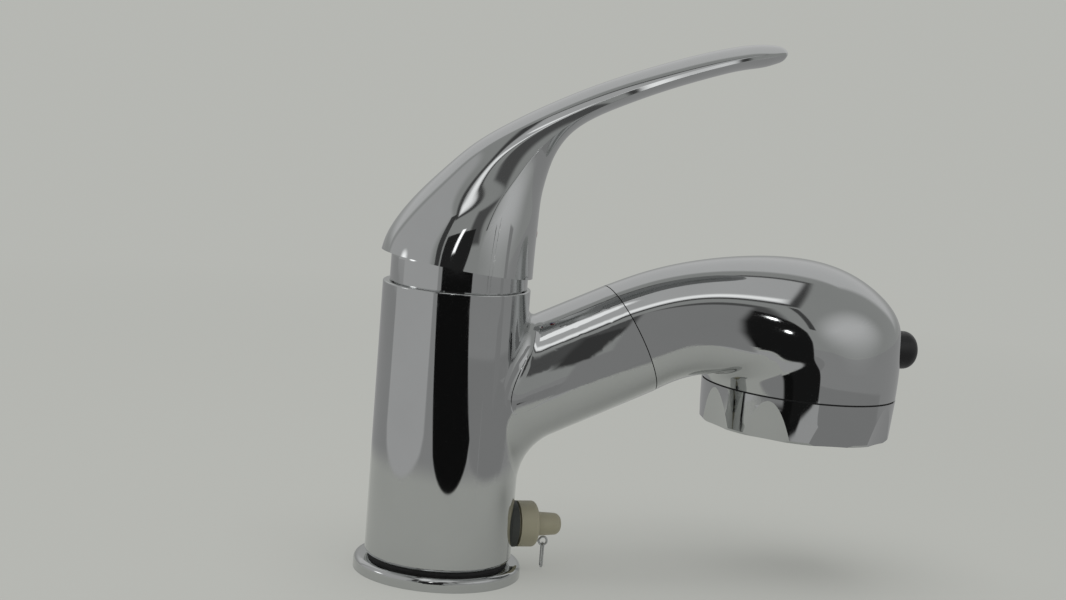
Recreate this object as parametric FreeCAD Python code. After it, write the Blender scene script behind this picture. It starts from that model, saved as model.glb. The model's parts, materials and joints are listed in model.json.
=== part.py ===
"""Single-lever basin mixer tap with a pull-out spray head.

Frame: origin at the centre of the base's underside, +Z up the body, +X out along the spout.
All sizes are millimetres. Pieces that belong together are built by one function, and each
separate piece is written to its own STEP file.
"""
import FreeCAD, Part
import math
import os

V = FreeCAD.Vector
ORIGIN = V(0, 0, 0)
UP = V(0, 0, 1)
OUT = V(1, 0, 0)

# Clearances
RUN = 0.06            # radial running fit of a turning or sliding shaft
SLIP = 0.10           # radial gap of a piece that is pushed or screwed into place
GAP = 0.30            # visible seam between two bodies
FACE_GAP = 0.05       # gap between faces that slide on each other
SEAT = 0.02           # a seal lies this far from the face that squeezes it

# Base
BASE_R = 26.0
BASE_H = 4.0
BASE_EDGE_R = 1.6
BASE_HOLE_R = 17.5
DECK_SEAL_IN = 19.2
DECK_SEAL_OUT = 22.8
DECK_SEAL_T = 1.5
GASKET_T = 0.9
GASKET_OUT = 21.6

# Body casting
BODY_R_LOW = 22.74
BODY_R_TOP = 22.55
BODY_LEAN = 0.5         # the outer cone leans this far back from the spout at its top
BODY_TOP_Z = 89.6
BODY_EDGE_R = 1.5
BODY_RIM_R = 0.4
CAVITY_R = 19.0
CAVITY_Z = 50.0
CAVITY_CONE_R = 15.0
CAVITY_CONE_H = 5.0
CHAMBER_R = 18.0
CHAMBER_Z = 61.6        # floor of the chamber, on which the cartridge stands
NECK_R = 20.0
NECK_Z = CHAMBER_Z + 34.6
BOSS_Z = 34.0
INLET_Y = 9.0
INLET_R = 3.46
INLET_BOSS_R = 5.4
INLET_DEPTH = 12.0
OUTLET_X = -8.5
OUTLET_R = 4.46
OUTLET_BOSS_R = 6.2
PORT_R = 2.6
STUD_X = -9.5
STUD_Y = -10.0
STUD_R = 3.32
STUD_BOSS_R = 5.2
STUD_DEPTH = 14.0

# Spout branch
MOUTH_X = 56.0
MOUTH_Z = 74.85
SPOUT_ELEV = 28.0
MOUTH_R = 18.25
BRANCH_ELEV = 24.3      # the branch rises less steeply than its mouth faces
BRANCH_TOP_FILLET = 3.0
BRANCH_LOW_FILLET = 18.0
HOSE_WAY_R = 8.5
HOSE_WAY_X = 12.0
HOSE_WAY_Z = 44.0

# Docking sleeve in the spout's mouth
SLEEVE_R = 12.4
SLEEVE_LEN = 30.0
SLEEVE_FLANGE_R = 14.4
SLEEVE_FLANGE_T = 1.6
MOUTH_SEAL_OUT = MOUTH_R - 1.65
MOUTH_SEAL_IN = MOUTH_SEAL_OUT - 1.4
MOUTH_SEAL_T = 1.2

# Cartridge
SEAL_T = 1.2
SEAL_W = 1.5
CART_BASE_R = 16.4
CART_BASE_T = 7.0
PIN_R = 1.4
PIN_LEN = 2.4
PIN_X = 9.0
PIN_Y = 7.5
DISC_R = 15.0
DISC_T = 3.2
MOVING_DISC_R = 11.3
MOVING_DISC_T = 3.0
COUPLER_R = 9.0
COUPLER_T = 6.0
HOUSING_WALL = 1.4
HOUSING_CEIL_Z = CHAMBER_Z + 23.3
HOUSING_SHOULDER_Z = HOUSING_CEIL_Z + 2.6
HOUSING_NECK_R = 12.5
HOUSING_TOP_Z = HOUSING_SHOULDER_Z + 7.9
CARRIER_R = 10.0
CARRIER_FLANGE_R = 15.6
CARRIER_FLANGE_T = 2.0
CARRIER_TOP_Z = HOUSING_TOP_Z + 1.6
NUT_HOLE_R = 13.4
NUT_TOP_Z = NECK_Z + 1.0
NUT_SLOTS = 4
NUT_SLOT_W = 4.0
NUT_SLOT_H = 3.0

# Collar over the cartridge nut
COLLAR_R = 21.0
COLLAR_HOLE_R = 14.5
COLLAR_CYL_Z = NECK_Z + 1.0
COLLAR_TOP_Z = NECK_Z + 3.6
COLLAR_LIP_T = 1.4

# Lever stem
PIVOT_Z = HOUSING_TOP_Z - 1.4
STEM_PIN_R = 1.5
STEM_W = 8.0
STEM_T = 6.0
STEM_TOP_Z = PIVOT_Z + 17.0
STEM_WAIST_W = 4.4
BALL_R = 2.9
BALL_ARM = 14.0
LIFT_DEG = 20.0

# Lever handle
HANDLE_Z = COLLAR_TOP_Z - 6.8   # height of the bell's rim at the front
HANDLE_WALL = 2.0
HANDLE_CAVITY_R = 21.5
HANDLE_CAVITY_Z = COLLAR_TOP_Z + 1.2
HANDLE_CONE_R = 14.0
HANDLE_CONE_Z = HANDLE_CAVITY_Z + 11.0
BOSS_R = 7.2
BOSS_BOTTOM_Z = CARRIER_TOP_Z + 4.5
WEB_HALF = 4.0
SCREW_Z = STEM_TOP_Z - 4.5
SCREW_R = 2.1
SCREW_LEN = 9.0
SCREW_HEX = 2.5
INDEX_R = 2.3
INDEX_DEPTH = 2.6
INDEX_PROUD = 0.35

# Spray head
HEAD_TILT = 1.65
HEAD_R = 31.3
HEAD_H = 41.6
HEAD_WALL = 2.2
HEAD_X = MOUTH_X + 28.2 + HEAD_R
HEAD_SEAM_Z = MOUTH_Z - 13.15
RING_H = 13.7
RING_LOW_R = HEAD_R - 0.7
RING_WALL = 2.6
RING_LIP = 0.8
SCALLOPS = 9
SCALLOP_R = 58.0
SCALLOP_DEPTH = 1.6      # at the ring's lower edge, fading to nothing at the scallop's top
SCALLOP_H = 12.1
HEAD_GASKET_T = 0.5
HEAD_GASKET_INSET = 0.5
PLATE_T = 2.4
PLATE_RECESS = 0.8
PLATE_HUB_R = 8.4
AERATOR_R = 10.0
AERATOR_WALL = 1.4
AERATOR_H = 9.0
MESH_T = 0.6
MESH_SLOT = 1.5
MESH_SLOTS = 5
NOZZLE_RINGS = ((HEAD_R - 16.8, 12), (HEAD_R - 11.8, 18), (HEAD_R - 7.7, 24))
NOZZLE_R = 0.75
NOZZLE_OUT = 0.9

# Shank and inlet of the spray head
SHANK_R = 9.0
SHANK_LEN = 28.0
SHANK_FLANGE_T = 3.0
THREAD_R = 6.9
THREAD_LEN = 12.0
VALVE_R = 6.4
VALVE_LEN = 11.0
WATER_R = 3.6
PIPE_R = 5.2
ELBOW_LEN = 8.0
FILTER_T = 1.2
SHANK_SEAL_W = 1.6
SHANK_SEAL_DEPTH = 1.0
SHANK_SEAL_AT = 6.0

# Diverter
BUTTON_Z = HEAD_SEAM_Z + 12.9
BUTTON_R = 6.2
BUTTON_DOME = 4.2
LAND_R = 7.6
LAND_X = HEAD_X + HEAD_R - 0.3
BUTTON_TIP_X = LAND_X + 8.8
POCKET_DEPTH = 4.2
POCKET_WALL = 1.4
BUTTON_TRAVEL = 3.0
SPINDLE_R = 2.3
SPINDLE_IN = 22.0
DIVERTER_R = 8.4
DIVERTER_X0 = HEAD_X - 16.5
DIVERTER_X1 = LAND_X - 9.5
SPRING_R = 3.9
SPRING_WIRE = 0.5
BUTTON_BORE_R = 4.7

# Chain anchor at the foot of the body
ANCHOR_Z = 14.7
ANCHOR_FLANGE_R = 7.3
ANCHOR_FLANGE_X = 23.9
ANCHOR_GROOVE = 0.7
ANCHOR_GROOVE_R = 5.8
ANCHOR_DISC_R = 7.2
ANCHOR_DISC_X = 30.6
ANCHOR_DISC_EDGE = 1.4
ANCHOR_NOSE_R = 3.9
ANCHOR_NOSE_TIP_R = 3.3
ANCHOR_NOSE_X = 38.9
ANCHOR_NOSE_EDGE = 2.2
ANCHOR_SHANK_R = 3.0
ANCHOR_SHANK_X = 17.0
EYE_X = 33.8
EYE_R = 1.3
EYE_WIRE = 0.35
LINK_WIRE = 0.3
LINK_W = 1.1
LINK_LEN = 5.6

SPOUT = V(math.cos(math.radians(SPOUT_ELEV)), 0, math.sin(math.radians(SPOUT_ELEV)))
MOUTH = V(MOUTH_X, 0, MOUTH_Z)
BODY_Z = BASE_H + GASKET_T
BIG = 400.0


def cylinder(radius, start, end):
    """Solid cylinder between two points, with its seam turned away from the spout."""
    axis = end.sub(start)
    return Part.makeCylinder(radius, axis.Length, start, axis)


def ring(outer, inner, z0, z1):
    """Upright ring on the body's axis."""
    shell = Part.makeCylinder(outer, z1 - z0, V(0, 0, z0))
    return shell.cut(Part.makeCylinder(inner, z1 - z0, V(0, 0, z0)))


def revolved(profile):
    """Solid of revolution about Z from a closed outline of (radius, height) corners."""
    points = [V(r, 0, z) for r, z in profile]
    face = Part.Face(Part.makePolygon(points + [points[0]]))
    return face.revolve(ORIGIN, UP, 360)


def placed(shape, origin, direction):
    """Copy of a shape built on +Z, moved to an origin and turned to a direction."""
    result = shape.copy()
    result.Placement = FreeCAD.Placement(origin, FreeCAD.Rotation(UP, direction))
    return result


def in_spout(shape):
    """Copy of a shape built on +Z, placed at the spout's mouth with +Z along the spout."""
    return placed(shape, MOUTH, SPOUT)


def in_head(shape):
    """Copy of a shape built about Z = 0 at the spray seam, placed and tilted with the head."""
    result = shape.copy()
    turn = FreeCAD.Rotation(V(0, 1, 0), HEAD_TILT)
    result.Placement = FreeCAD.Placement(V(HEAD_X, 0, HEAD_SEAM_Z), turn)
    return result


def edges_where(shape, test):
    """Edges of a shape whose middle point passes a test."""
    found = []
    for edge in shape.Edges:
        middle = edge.valueAt((edge.FirstParameter + edge.LastParameter) / 2)
        if test(middle):
            found.append(edge)
    return found


def rounded(shape, radius, test):
    """Shape with the edges that pass a test rounded."""
    return shape.makeFillet(radius, edges_where(shape, test))


def sleeve_bore_r():
    """Bore of the docking sleeve, a running fit on the spray head's shank."""
    return SHANK_R + RUN


def body_cone():
    """Outer cone of the body, leaning slightly back from the spout and cut level at both ends."""
    height = BODY_TOP_Z - BODY_Z
    spare = 0.05
    taper = (BODY_R_TOP - BODY_R_LOW) * spare
    lean = V(-BODY_LEAN, 0, height)
    start = V(0, 0, BODY_Z) - V(lean).multiply(spare)
    cone = Part.makeCone(BODY_R_LOW - taper, BODY_R_TOP + taper, lean.Length * (1 + 2 * spare),
                         start, lean)
    return cone.common(Part.makeBox(BIG, BIG, height, V(-BIG / 2, -BIG / 2, BODY_Z)))


def body_outside():
    """Body cone and spout branch as one blended solid.

    Half of it is built beyond the symmetry plane, so that the blend can run from a tight
    radius above the branch to a wide sweep below it, and the other half is its mirror.
    """
    mouth = Part.Face(Part.Wire(Part.makeCircle(MOUTH_R, MOUTH, SPOUT)))
    rise = math.radians(BRANCH_ELEV)
    back = V(-MOUTH_X, 0, -MOUTH_X * math.tan(rise))
    branch = mouth.extrude(back)
    half_space = Part.makeBox(BIG, BIG, BIG, V(-BIG / 2, 0, -BIG / 2))
    half = body_cone().fuse(branch).common(half_space)
    half = blended(half)
    other = half.mirror(ORIGIN, V(0, 1, 0))
    return half.fuse(other).removeSplitter()


def blended(half):
    """Half body with the branch's joint rounded by a radius that grows downwards."""
    doc = FreeCAD.newDocument("blend")
    base = doc.addObject("Part::Feature", "half")
    base.Shape = half
    joint = 0
    for index, edge in enumerate(half.Edges):
        box = edge.BoundBox
        slanted = box.YLength > MOUTH_R / 2 and box.ZLength > MOUTH_R and box.XLength > RUN
        if slanted and edge.Curve.TypeId == "Part::GeomBSplineCurve":
            joint = index + 1
            top_first = edge.Vertexes[0].Z > edge.Vertexes[-1].Z
    first = BRANCH_TOP_FILLET if top_first else BRANCH_LOW_FILLET
    last = BRANCH_LOW_FILLET if top_first else BRANCH_TOP_FILLET
    fillet = doc.addObject("Part::Fillet", "blend")
    fillet.Base = base
    fillet.Edges = [(joint, first, last)]
    doc.recompute()
    result = fillet.Shape.copy()
    FreeCAD.closeDocument(doc.Name)
    return result


def body_casting():
    """Brass body: outer form, cartridge chamber, hose way, bosses and their threads."""
    outside = body_outside()
    outside = rounded(outside, BODY_EDGE_R, lambda p: p.z < BODY_Z + 0.01)
    outside = rounded(outside, BODY_RIM_R, lambda p: p.z > BODY_TOP_Z - 0.01 and abs(p.y) > 1)
    neck = Part.makeCylinder(NECK_R, NECK_Z - BODY_TOP_Z, V(0, 0, BODY_TOP_Z))
    casting = outside.fuse(neck)

    cavity = revolved([(0, BODY_Z), (CAVITY_R, BODY_Z), (CAVITY_R, CAVITY_Z),
                       (CAVITY_CONE_R, CAVITY_Z + CAVITY_CONE_H), (0, CAVITY_Z + CAVITY_CONE_H)])
    for x, y, radius in boss_places():
        cavity = cavity.cut(Part.makeCylinder(radius, BIG, V(x, y, BOSS_Z)))
    chamber = Part.makeCylinder(CHAMBER_R, NECK_Z - CHAMBER_Z, V(0, 0, CHAMBER_Z))
    way = cylinder(HOSE_WAY_R, V(HOSE_WAY_X, 0, HOSE_WAY_Z), MOUTH)
    bore = in_spout(Part.makeCylinder(SLEEVE_R + SLIP, SLEEVE_LEN, V(0, 0, -SLEEVE_LEN)))
    seat = in_spout(Part.makeCylinder(SLEEVE_FLANGE_R + SLIP, SLEEVE_FLANGE_T,
                                      V(0, 0, -SLEEVE_FLANGE_T)))
    groove = in_spout(ring(MOUTH_SEAL_OUT, MOUTH_SEAL_IN, -MOUTH_SEAL_T, 0))
    casting = casting.cut([cavity, chamber, way, bore, seat, groove])

    holes = []
    for y in (-INLET_Y, INLET_Y):
        holes.append(Part.makeCylinder(INLET_R, INLET_DEPTH, V(0, y, BOSS_Z)))
        holes.append(Part.makeCylinder(PORT_R, CHAMBER_Z - BOSS_Z, V(0, y, BOSS_Z)))
        holes.append(Part.makeCylinder(PIN_R + SLIP, PIN_LEN + SLIP,
                                       V(PIN_X, y * PIN_Y / INLET_Y, CHAMBER_Z - PIN_LEN - SLIP)))
    holes.append(Part.makeCylinder(OUTLET_R, INLET_DEPTH, V(OUTLET_X, 0, BOSS_Z)))
    holes.append(Part.makeCylinder(PORT_R, CHAMBER_Z - BOSS_Z, V(OUTLET_X, 0, BOSS_Z)))
    holes.append(Part.makeCylinder(STUD_R, STUD_DEPTH, V(STUD_X, STUD_Y, BOSS_Z)))
    holes.append(cylinder(ANCHOR_SHANK_R + SLIP, V(ANCHOR_SHANK_X, 0, ANCHOR_Z),
                          V(BODY_R_TOP + 1, 0, ANCHOR_Z)))
    return casting.cut(holes).Solids[0]


def boss_places():
    """Centre and radius of each boss that hangs from the cavity's ceiling."""
    return ((0, INLET_Y, INLET_BOSS_R), (0, -INLET_Y, INLET_BOSS_R),
            (OUTLET_X, 0, OUTLET_BOSS_R), (STUD_X, STUD_Y, STUD_BOSS_R))


def base_pieces():
    """Base ring with its deck seal below and the gasket under the body."""
    base = ring(BASE_R, BASE_HOLE_R, 0, BASE_H)
    base = rounded(base, BASE_EDGE_R,
                   lambda p: p.z > BASE_H - 0.01 and math.hypot(p.x, p.y) > BASE_HOLE_R + 1)
    base = base.cut(ring(DECK_SEAL_OUT, DECK_SEAL_IN, 0, DECK_SEAL_T))
    seal = ring(DECK_SEAL_OUT - SLIP, DECK_SEAL_IN + SLIP, SEAT, DECK_SEAL_T)
    gasket = ring(GASKET_OUT, BASE_HOLE_R, BASE_H, BASE_H + GASKET_T)
    return {"base_ring": base, "deck_seal": seal, "base_gasket": gasket}


def port_places():
    """Centres of the two inlet ports and the outlet port."""
    return ((0, INLET_Y), (0, -INLET_Y), (OUTLET_X, 0))


def cartridge_pieces():
    """Fixed pieces of the ceramic cartridge, from the chamber's floor upwards."""
    base_z = CHAMBER_Z + SEAL_T
    disc_z = base_z + CART_BASE_T
    seals = Part.makeCompound([
        Part.makeCylinder(PORT_R + SEAL_W, SEAL_T, V(x, y, CHAMBER_Z)).cut(
            Part.makeCylinder(PORT_R, SEAL_T, V(x, y, CHAMBER_Z)))
        for x, y in port_places()])
    base = Part.makeCylinder(CART_BASE_R, CART_BASE_T, V(0, 0, base_z))
    pin_len = SEAL_T + PIN_LEN
    pins = [Part.makeCylinder(PIN_R, pin_len, V(PIN_X, y, base_z - pin_len))
            for y in (-PIN_Y, PIN_Y)]
    base = base.fuse(pins)
    disc = Part.makeCylinder(DISC_R, DISC_T, V(0, 0, disc_z))
    for x, y in port_places():
        base = base.cut(Part.makeCylinder(PORT_R, CART_BASE_T, V(x, y, base_z)))
        disc = disc.cut(Part.makeCylinder(PORT_R, DISC_T, V(x, y, disc_z)))

    outer = CHAMBER_R - SLIP
    inner = outer - HOUSING_WALL
    housing = revolved([(inner, base_z), (outer, base_z), (outer, HOUSING_SHOULDER_Z),
                        (HOUSING_NECK_R, HOUSING_SHOULDER_Z), (HOUSING_NECK_R, HOUSING_TOP_Z),
                        (CARRIER_R + RUN, HOUSING_TOP_Z), (CARRIER_R + RUN, HOUSING_CEIL_Z),
                        (inner, HOUSING_CEIL_Z)])
    nut = ring(CHAMBER_R - SLIP, NUT_HOLE_R, HOUSING_SHOULDER_Z, NUT_TOP_Z)
    slot = Part.makeBox(CHAMBER_R * 2, NUT_SLOT_W, NUT_SLOT_H,
                        V(0, -NUT_SLOT_W / 2, NUT_TOP_Z - NUT_SLOT_H))
    for index in range(NUT_SLOTS):
        turned = slot.copy()
        turned.rotate(ORIGIN, UP, 45 + 360.0 * index / NUT_SLOTS)
        nut = nut.cut(turned)

    round_r = COLLAR_TOP_Z - COLLAR_CYL_Z
    low = BODY_TOP_Z + GAP
    collar = Part.makeCylinder(COLLAR_R, COLLAR_TOP_Z - low, V(0, 0, low))
    collar = rounded(collar, round_r - 0.01, lambda p: p.z > COLLAR_TOP_Z - 0.01)
    inside = ring(NECK_R + SLIP, 0.01, low, COLLAR_TOP_Z - COLLAR_LIP_T - 0.8)
    hole = Part.makeCylinder(COLLAR_HOLE_R, BIG, V(0, 0, low))
    core = Part.makeCylinder(NUT_HOLE_R + 5.0, COLLAR_TOP_Z - COLLAR_LIP_T - low, V(0, 0, low))
    collar = collar.cut([inside, hole, core])
    return {"cartridge_seals": seals, "cartridge_base": base, "fixed_disc": disc,
            "cartridge_housing": housing, "cartridge_nut": nut, "cartridge_collar": collar}


def ball_z():
    """Height of the stem's ball, below the lever's pivot."""
    return PIVOT_Z - BALL_ARM


def lift_throw():
    """How far the stem's ball pushes the moving disc when the lever is lifted to its stop."""
    return BALL_ARM * math.sin(math.radians(LIFT_DEG))


def disc_pieces():
    """Moving ceramic disc and the coupler that the stem's ball pushes."""
    z = CHAMBER_Z + SEAL_T + CART_BASE_T + DISC_T + FACE_GAP
    disc = Part.makeCylinder(MOVING_DISC_R, MOVING_DISC_T, V(0, 0, z))
    mixing = Part.makeCylinder(MOVING_DISC_R / 2, MOVING_DISC_T / 2, V(0, 0, z))
    disc = disc.cut(mixing)
    top = z + MOVING_DISC_T
    coupler = Part.makeCylinder(COUPLER_R, COUPLER_T, V(0, 0, top))
    socket = Part.makeCylinder(BALL_R + RUN, COUPLER_T - 1.0, V(0, 0, top + 1.0))
    return {"moving_disc": disc, "disc_coupler": coupler.cut(socket)}


def carrier_pieces():
    """Carrier that swivels in the housing, with the pin on which the stem lifts."""
    flange_z = HOUSING_CEIL_Z - GAP - CARRIER_FLANGE_T
    carrier = Part.makeCylinder(CARRIER_R, CARRIER_TOP_Z - flange_z, V(0, 0, flange_z))
    carrier = carrier.fuse(Part.makeCylinder(CARRIER_FLANGE_R, CARRIER_FLANGE_T,
                                             V(0, 0, flange_z)))
    back = -STEM_W / 2 - 1.8
    front = lift_throw() + BALL_R + GAP
    slot = Part.makeBox(front - back, STEM_T + 2 * GAP, BIG,
                        V(back, -STEM_T / 2 - GAP, flange_z))
    hole = cylinder(STEM_PIN_R, V(0, -CARRIER_R, PIVOT_Z), V(0, CARRIER_R, PIVOT_Z))
    pin = cylinder(STEM_PIN_R, V(0, -CARRIER_R + GAP, PIVOT_Z), V(0, CARRIER_R - GAP, PIVOT_Z))
    return {"lever_carrier": carrier.cut([slot, hole]), "stem_pin": pin}


def stem():
    """Lever stem: square head for the handle, pivot hole, waist and ball."""
    head = Part.makeBox(STEM_W, STEM_T, STEM_TOP_Z - PIVOT_Z + STEM_PIN_R + 1.5,
                        V(-STEM_W / 2, -STEM_T / 2, PIVOT_Z - STEM_PIN_R - 1.5))
    waist = Part.makeBox(STEM_WAIST_W, STEM_T, PIVOT_Z - ball_z(),
                         V(-STEM_WAIST_W / 2, -STEM_T / 2, ball_z()))
    tip = Part.makeSphere(BALL_R, V(0, 0, ball_z()))
    neck = Part.makeCylinder(BALL_R * 0.7, BALL_R + 1.5, V(0, 0, ball_z()))
    waist = waist.cut(Part.makeBox(BIG, BIG, BALL_R + 1.5, V(-BIG / 2, -BIG / 2, ball_z())))
    hole = cylinder(STEM_PIN_R + RUN, V(0, -STEM_T, PIVOT_Z), V(0, STEM_T, PIVOT_Z))
    return head.fuse([waist, tip, neck]).cut(hole)


# Handle stations from the rim to the lever's tip, with heights above the front of the rim.
# Each one is a slice through the handle: front or underside point (x, z), back or top point
# (x, z), ridge (half width, share of the slice), shoulder (half width, share), and how round
# the side between them is, 1 to 0.
HANDLE_STATIONS = (
    ((22.35, 0.00), (-24.20, 6.00), (23.25, 0.50), (20.13, 0.75), 1.0),
    ((22.45, 8.60), (-22.70, 11.00), (22.30, 0.50), (19.30, 0.74), 1.0),
    ((22.75, 17.00), (-18.60, 18.00), (20.40, 0.485), (17.60, 0.74), 1.0),
    ((23.15, 24.40), (-13.00, 25.00), (17.60, 0.46), (15.20, 0.72), 0.9),
    ((24.30, 30.60), (-6.00, 32.30), (14.90, 0.415), (13.10, 0.70), 0.7),
    ((26.10, 36.80), (1.70, 39.40), (12.90, 0.385), (11.60, 0.68), 0.45),
    ((29.40, 42.80), (10.70, 45.50), (11.80, 0.37), (10.80, 0.65), 0.25),
    ((35.50, 48.30), (23.60, 52.70), (11.20, 0.39), (10.30, 0.62), 0.12),
    ((46.60, 54.00), (41.30, 61.00), (11.00, 0.43), (10.10, 0.61), 0.0),
    ((60.50, 59.80), (57.00, 67.00), (10.90, 0.46), (10.00, 0.62), 0.0),
    ((75.20, 65.00), (72.60, 72.20), (10.90, 0.46), (10.10, 0.61), 0.0),
    ((86.20, 68.15), (84.20, 75.25), (10.50, 0.47), (9.80, 0.61), 0.0),
    ((92.60, 69.50), (91.20, 76.40), (9.20, 0.49), (8.60, 0.62), 0.0),
    ((96.60, 70.90), (95.90, 76.50), (6.90, 0.50), (6.50, 0.63), 0.0),
    ((98.70, 72.20), (98.40, 75.95), (4.20, 0.50), (4.00, 0.63), 0.0),
    ((99.50, 73.30), (99.45, 75.30), (1.60, 0.50), (1.50, 0.63), 0.0),
)


def station_wire(station, inset):
    """Closed outline of one handle station, drawn in by an inset.

    The top is an arc over the shoulders, the bottom an arc between the ridges, and each side
    runs from ridge to shoulder, as an arc that carries on the top's or as a flat facet.
    """
    (bx, bz), (cx, cz), (ridge_w, ridge_f), (shoulder_w, shoulder_f), roundness = station
    base, crown = V(bx, 0, HANDLE_Z + bz), V(cx, 0, HANDLE_Z + cz)
    along = crown.sub(base)
    length = along.Length
    along.normalize()
    middle = length / 2
    kx = (length - 2 * inset) / length
    ky = (ridge_w - inset) / ridge_w

    def at(half, share):
        rise = middle + (share * length - middle) * kx
        return base + V(along).multiply(rise) + V(0, half * ky, 0)

    side_mid = side_middle(length, ridge_w, ridge_f, shoulder_w, shoulder_f, roundness)
    ridge_l, ridge_r = at(ridge_w, ridge_f), at(-ridge_w, ridge_f)
    shoulder_l, shoulder_r = at(shoulder_w, shoulder_f), at(-shoulder_w, shoulder_f)
    edges = [
        Part.Arc(shoulder_l, at(0, 1), shoulder_r).toShape(),
        side_edge(shoulder_r, at(-side_mid[0], side_mid[1]), ridge_r),
        Part.Arc(ridge_r, at(0, 0), ridge_l).toShape(),
        side_edge(ridge_l, at(side_mid[0], side_mid[1]), shoulder_l),
    ]
    return Part.Wire(edges)


def side_middle(length, ridge_w, ridge_f, shoulder_w, shoulder_f, roundness):
    """Middle point of a side, between the straight chord and the arc that goes on from the top."""
    rise = length * (1 - shoulder_f)
    top_r = (rise * rise + shoulder_w * shoulder_w) / (2 * rise)
    slope = math.atan2(length * shoulder_f - (length - top_r), shoulder_w)
    tangent = (math.sin(slope), -math.cos(slope))
    chord = (ridge_w - shoulder_w, length * (ridge_f - shoulder_f))
    size = math.hypot(*chord)
    turn = math.atan2(tangent[0] * chord[1] - tangent[1] * chord[0],
                      tangent[0] * chord[0] + tangent[1] * chord[1])
    bulge = roundness * size / 2 * math.tan(turn / 2)
    normal = (chord[1] / size, -chord[0] / size)
    half = (ridge_w + shoulder_w) / 2 + bulge * normal[0]
    share = (ridge_f + shoulder_f) / 2 + bulge * normal[1] / length
    return half, share


def side_edge(start, middle, end):
    """Arc through three points, or a straight edge where they are in line."""
    chord = end.sub(start)
    off = chord.cross(middle.sub(start)).Length / chord.Length
    if off < 0.002:
        return Part.LineSegment(start, end).toShape()
    return Part.Arc(start, middle, end).toShape()


def handle():
    """Cast lever handle: a bell over the collar that runs out into the lever."""
    outer = Part.makeLoft([station_wire(s, 0.0) for s in HANDLE_STATIONS], True, False)
    bell = HANDLE_STATIONS[:6]
    hollow = Part.makeLoft([station_wire(s, HANDLE_WALL) for s in bell], True, False)
    bore = revolved([(0, BODY_TOP_Z), (HANDLE_CAVITY_R, BODY_TOP_Z),
                     (HANDLE_CAVITY_R, HANDLE_CAVITY_Z),
                     (HANDLE_CONE_R, HANDLE_CONE_Z), (0, HANDLE_CONE_Z)])
    boss = Part.makeCylinder(BOSS_R, BIG, V(0, 0, BOSS_BOTTOM_Z))
    web = Part.makeBox(BIG, 2 * WEB_HALF, BIG, V(0, -WEB_HALF, BOSS_BOTTOM_Z))
    hollow = hollow.fuse(bore).cut(boss.fuse(web))
    result = outer.cut(hollow)
    socket = Part.makeBox(STEM_W + 2 * SLIP, STEM_T + 2 * SLIP, STEM_TOP_Z + SLIP - PIVOT_Z,
                          V(-STEM_W / 2 - SLIP, -STEM_T / 2 - SLIP, PIVOT_Z))
    screw_way = cylinder(SCREW_R + RUN, V(0, 0, SCREW_Z), V(BIG, 0, SCREW_Z))
    button_hole = cylinder(INDEX_R + SLIP, V(index_x() - INDEX_DEPTH, 0, SCREW_Z),
                           V(BIG, 0, SCREW_Z))
    return result.cut([socket, screw_way, button_hole])


def index_x():
    """Front of the bell at the height of the grub screw."""
    low, high = HANDLE_STATIONS[1][0], HANDLE_STATIONS[2][0]
    share = (SCREW_Z - HANDLE_Z - low[1]) / (high[1] - low[1])
    return low[0] + share * (high[0] - low[0])


def lever_pieces():
    """Pieces that lift with the lever."""
    screw_start = STEM_W / 2 + SEAT
    screw = cylinder(SCREW_R, V(screw_start, 0, SCREW_Z), V(screw_start + SCREW_LEN, 0, SCREW_Z))
    hexagon = Part.makePolygon([V(screw_start + SCREW_LEN,
                                  SCREW_HEX / math.sqrt(3) * math.cos(math.radians(60 * i)),
                                  SCREW_Z + SCREW_HEX / math.sqrt(3) * math.sin(math.radians(60 * i)))
                                for i in range(7)])
    screw = screw.cut(Part.Face(hexagon).extrude(V(-SCREW_HEX, 0, 0)))
    button = cylinder(INDEX_R, V(index_x() - INDEX_DEPTH, 0, SCREW_Z),
                      V(index_x() + INDEX_PROUD, 0, SCREW_Z))
    button = rounded(button, INDEX_PROUD, lambda p: p.x > index_x() + INDEX_PROUD - 0.01)
    return {"lever_stem": stem(), "lever_handle": handle(), "grub_screw": screw,
            "index_button": button}


def docking_pieces():
    """Guide sleeve and seal in the spout's mouth."""
    sleeve = Part.makeCylinder(SLEEVE_R, SLEEVE_LEN, V(0, 0, -SLEEVE_LEN))
    sleeve = sleeve.fuse(Part.makeCylinder(SLEEVE_FLANGE_R, SLEEVE_FLANGE_T,
                                           V(0, 0, -SLEEVE_FLANGE_T)))
    sleeve = sleeve.cut(Part.makeCylinder(sleeve_bore_r(), SLEEVE_LEN, V(0, 0, -SLEEVE_LEN)))
    seal = ring(MOUTH_SEAL_OUT - SEAT, MOUTH_SEAL_IN + SEAT, -MOUTH_SEAL_T, 0)
    return {"docking_sleeve": in_spout(sleeve), "mouth_seal": in_spout(seal)}


# Spray head stations from the neck to the spray seam, as a fan of slices that turns over the
# inner corner: inner point, outer point (x, z) and half width. The neck's stations are offsets
# from the mouth's centre, the dome's are shares of the head's radius and height from the
# seam's centre.
NECK_STATIONS = (
    ((13.6, -13.5), (5.0, 21.4), 19.0),
    ((18.3, -11.6), (20.8, 25.5), 20.6),
    ((21.8, -10.5), (38.6, 27.9), 23.6),
)
DOME_STATIONS = (
    ((-1.128, 0.080), (-0.080, 0.990), 0.862),
    ((-1.066, 0.092), (0.364, 0.921), 0.936),
    ((-1.034, 0.088), (0.755, 0.755), 0.985),
    ((-1.022, 0.076), (0.960, 0.570), 0.998),
    ((-1.012, 0.060), (1.006, 0.350), 1.003),
    ((-1.005, 0.042), (1.010, 0.170), 1.004),
)


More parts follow.
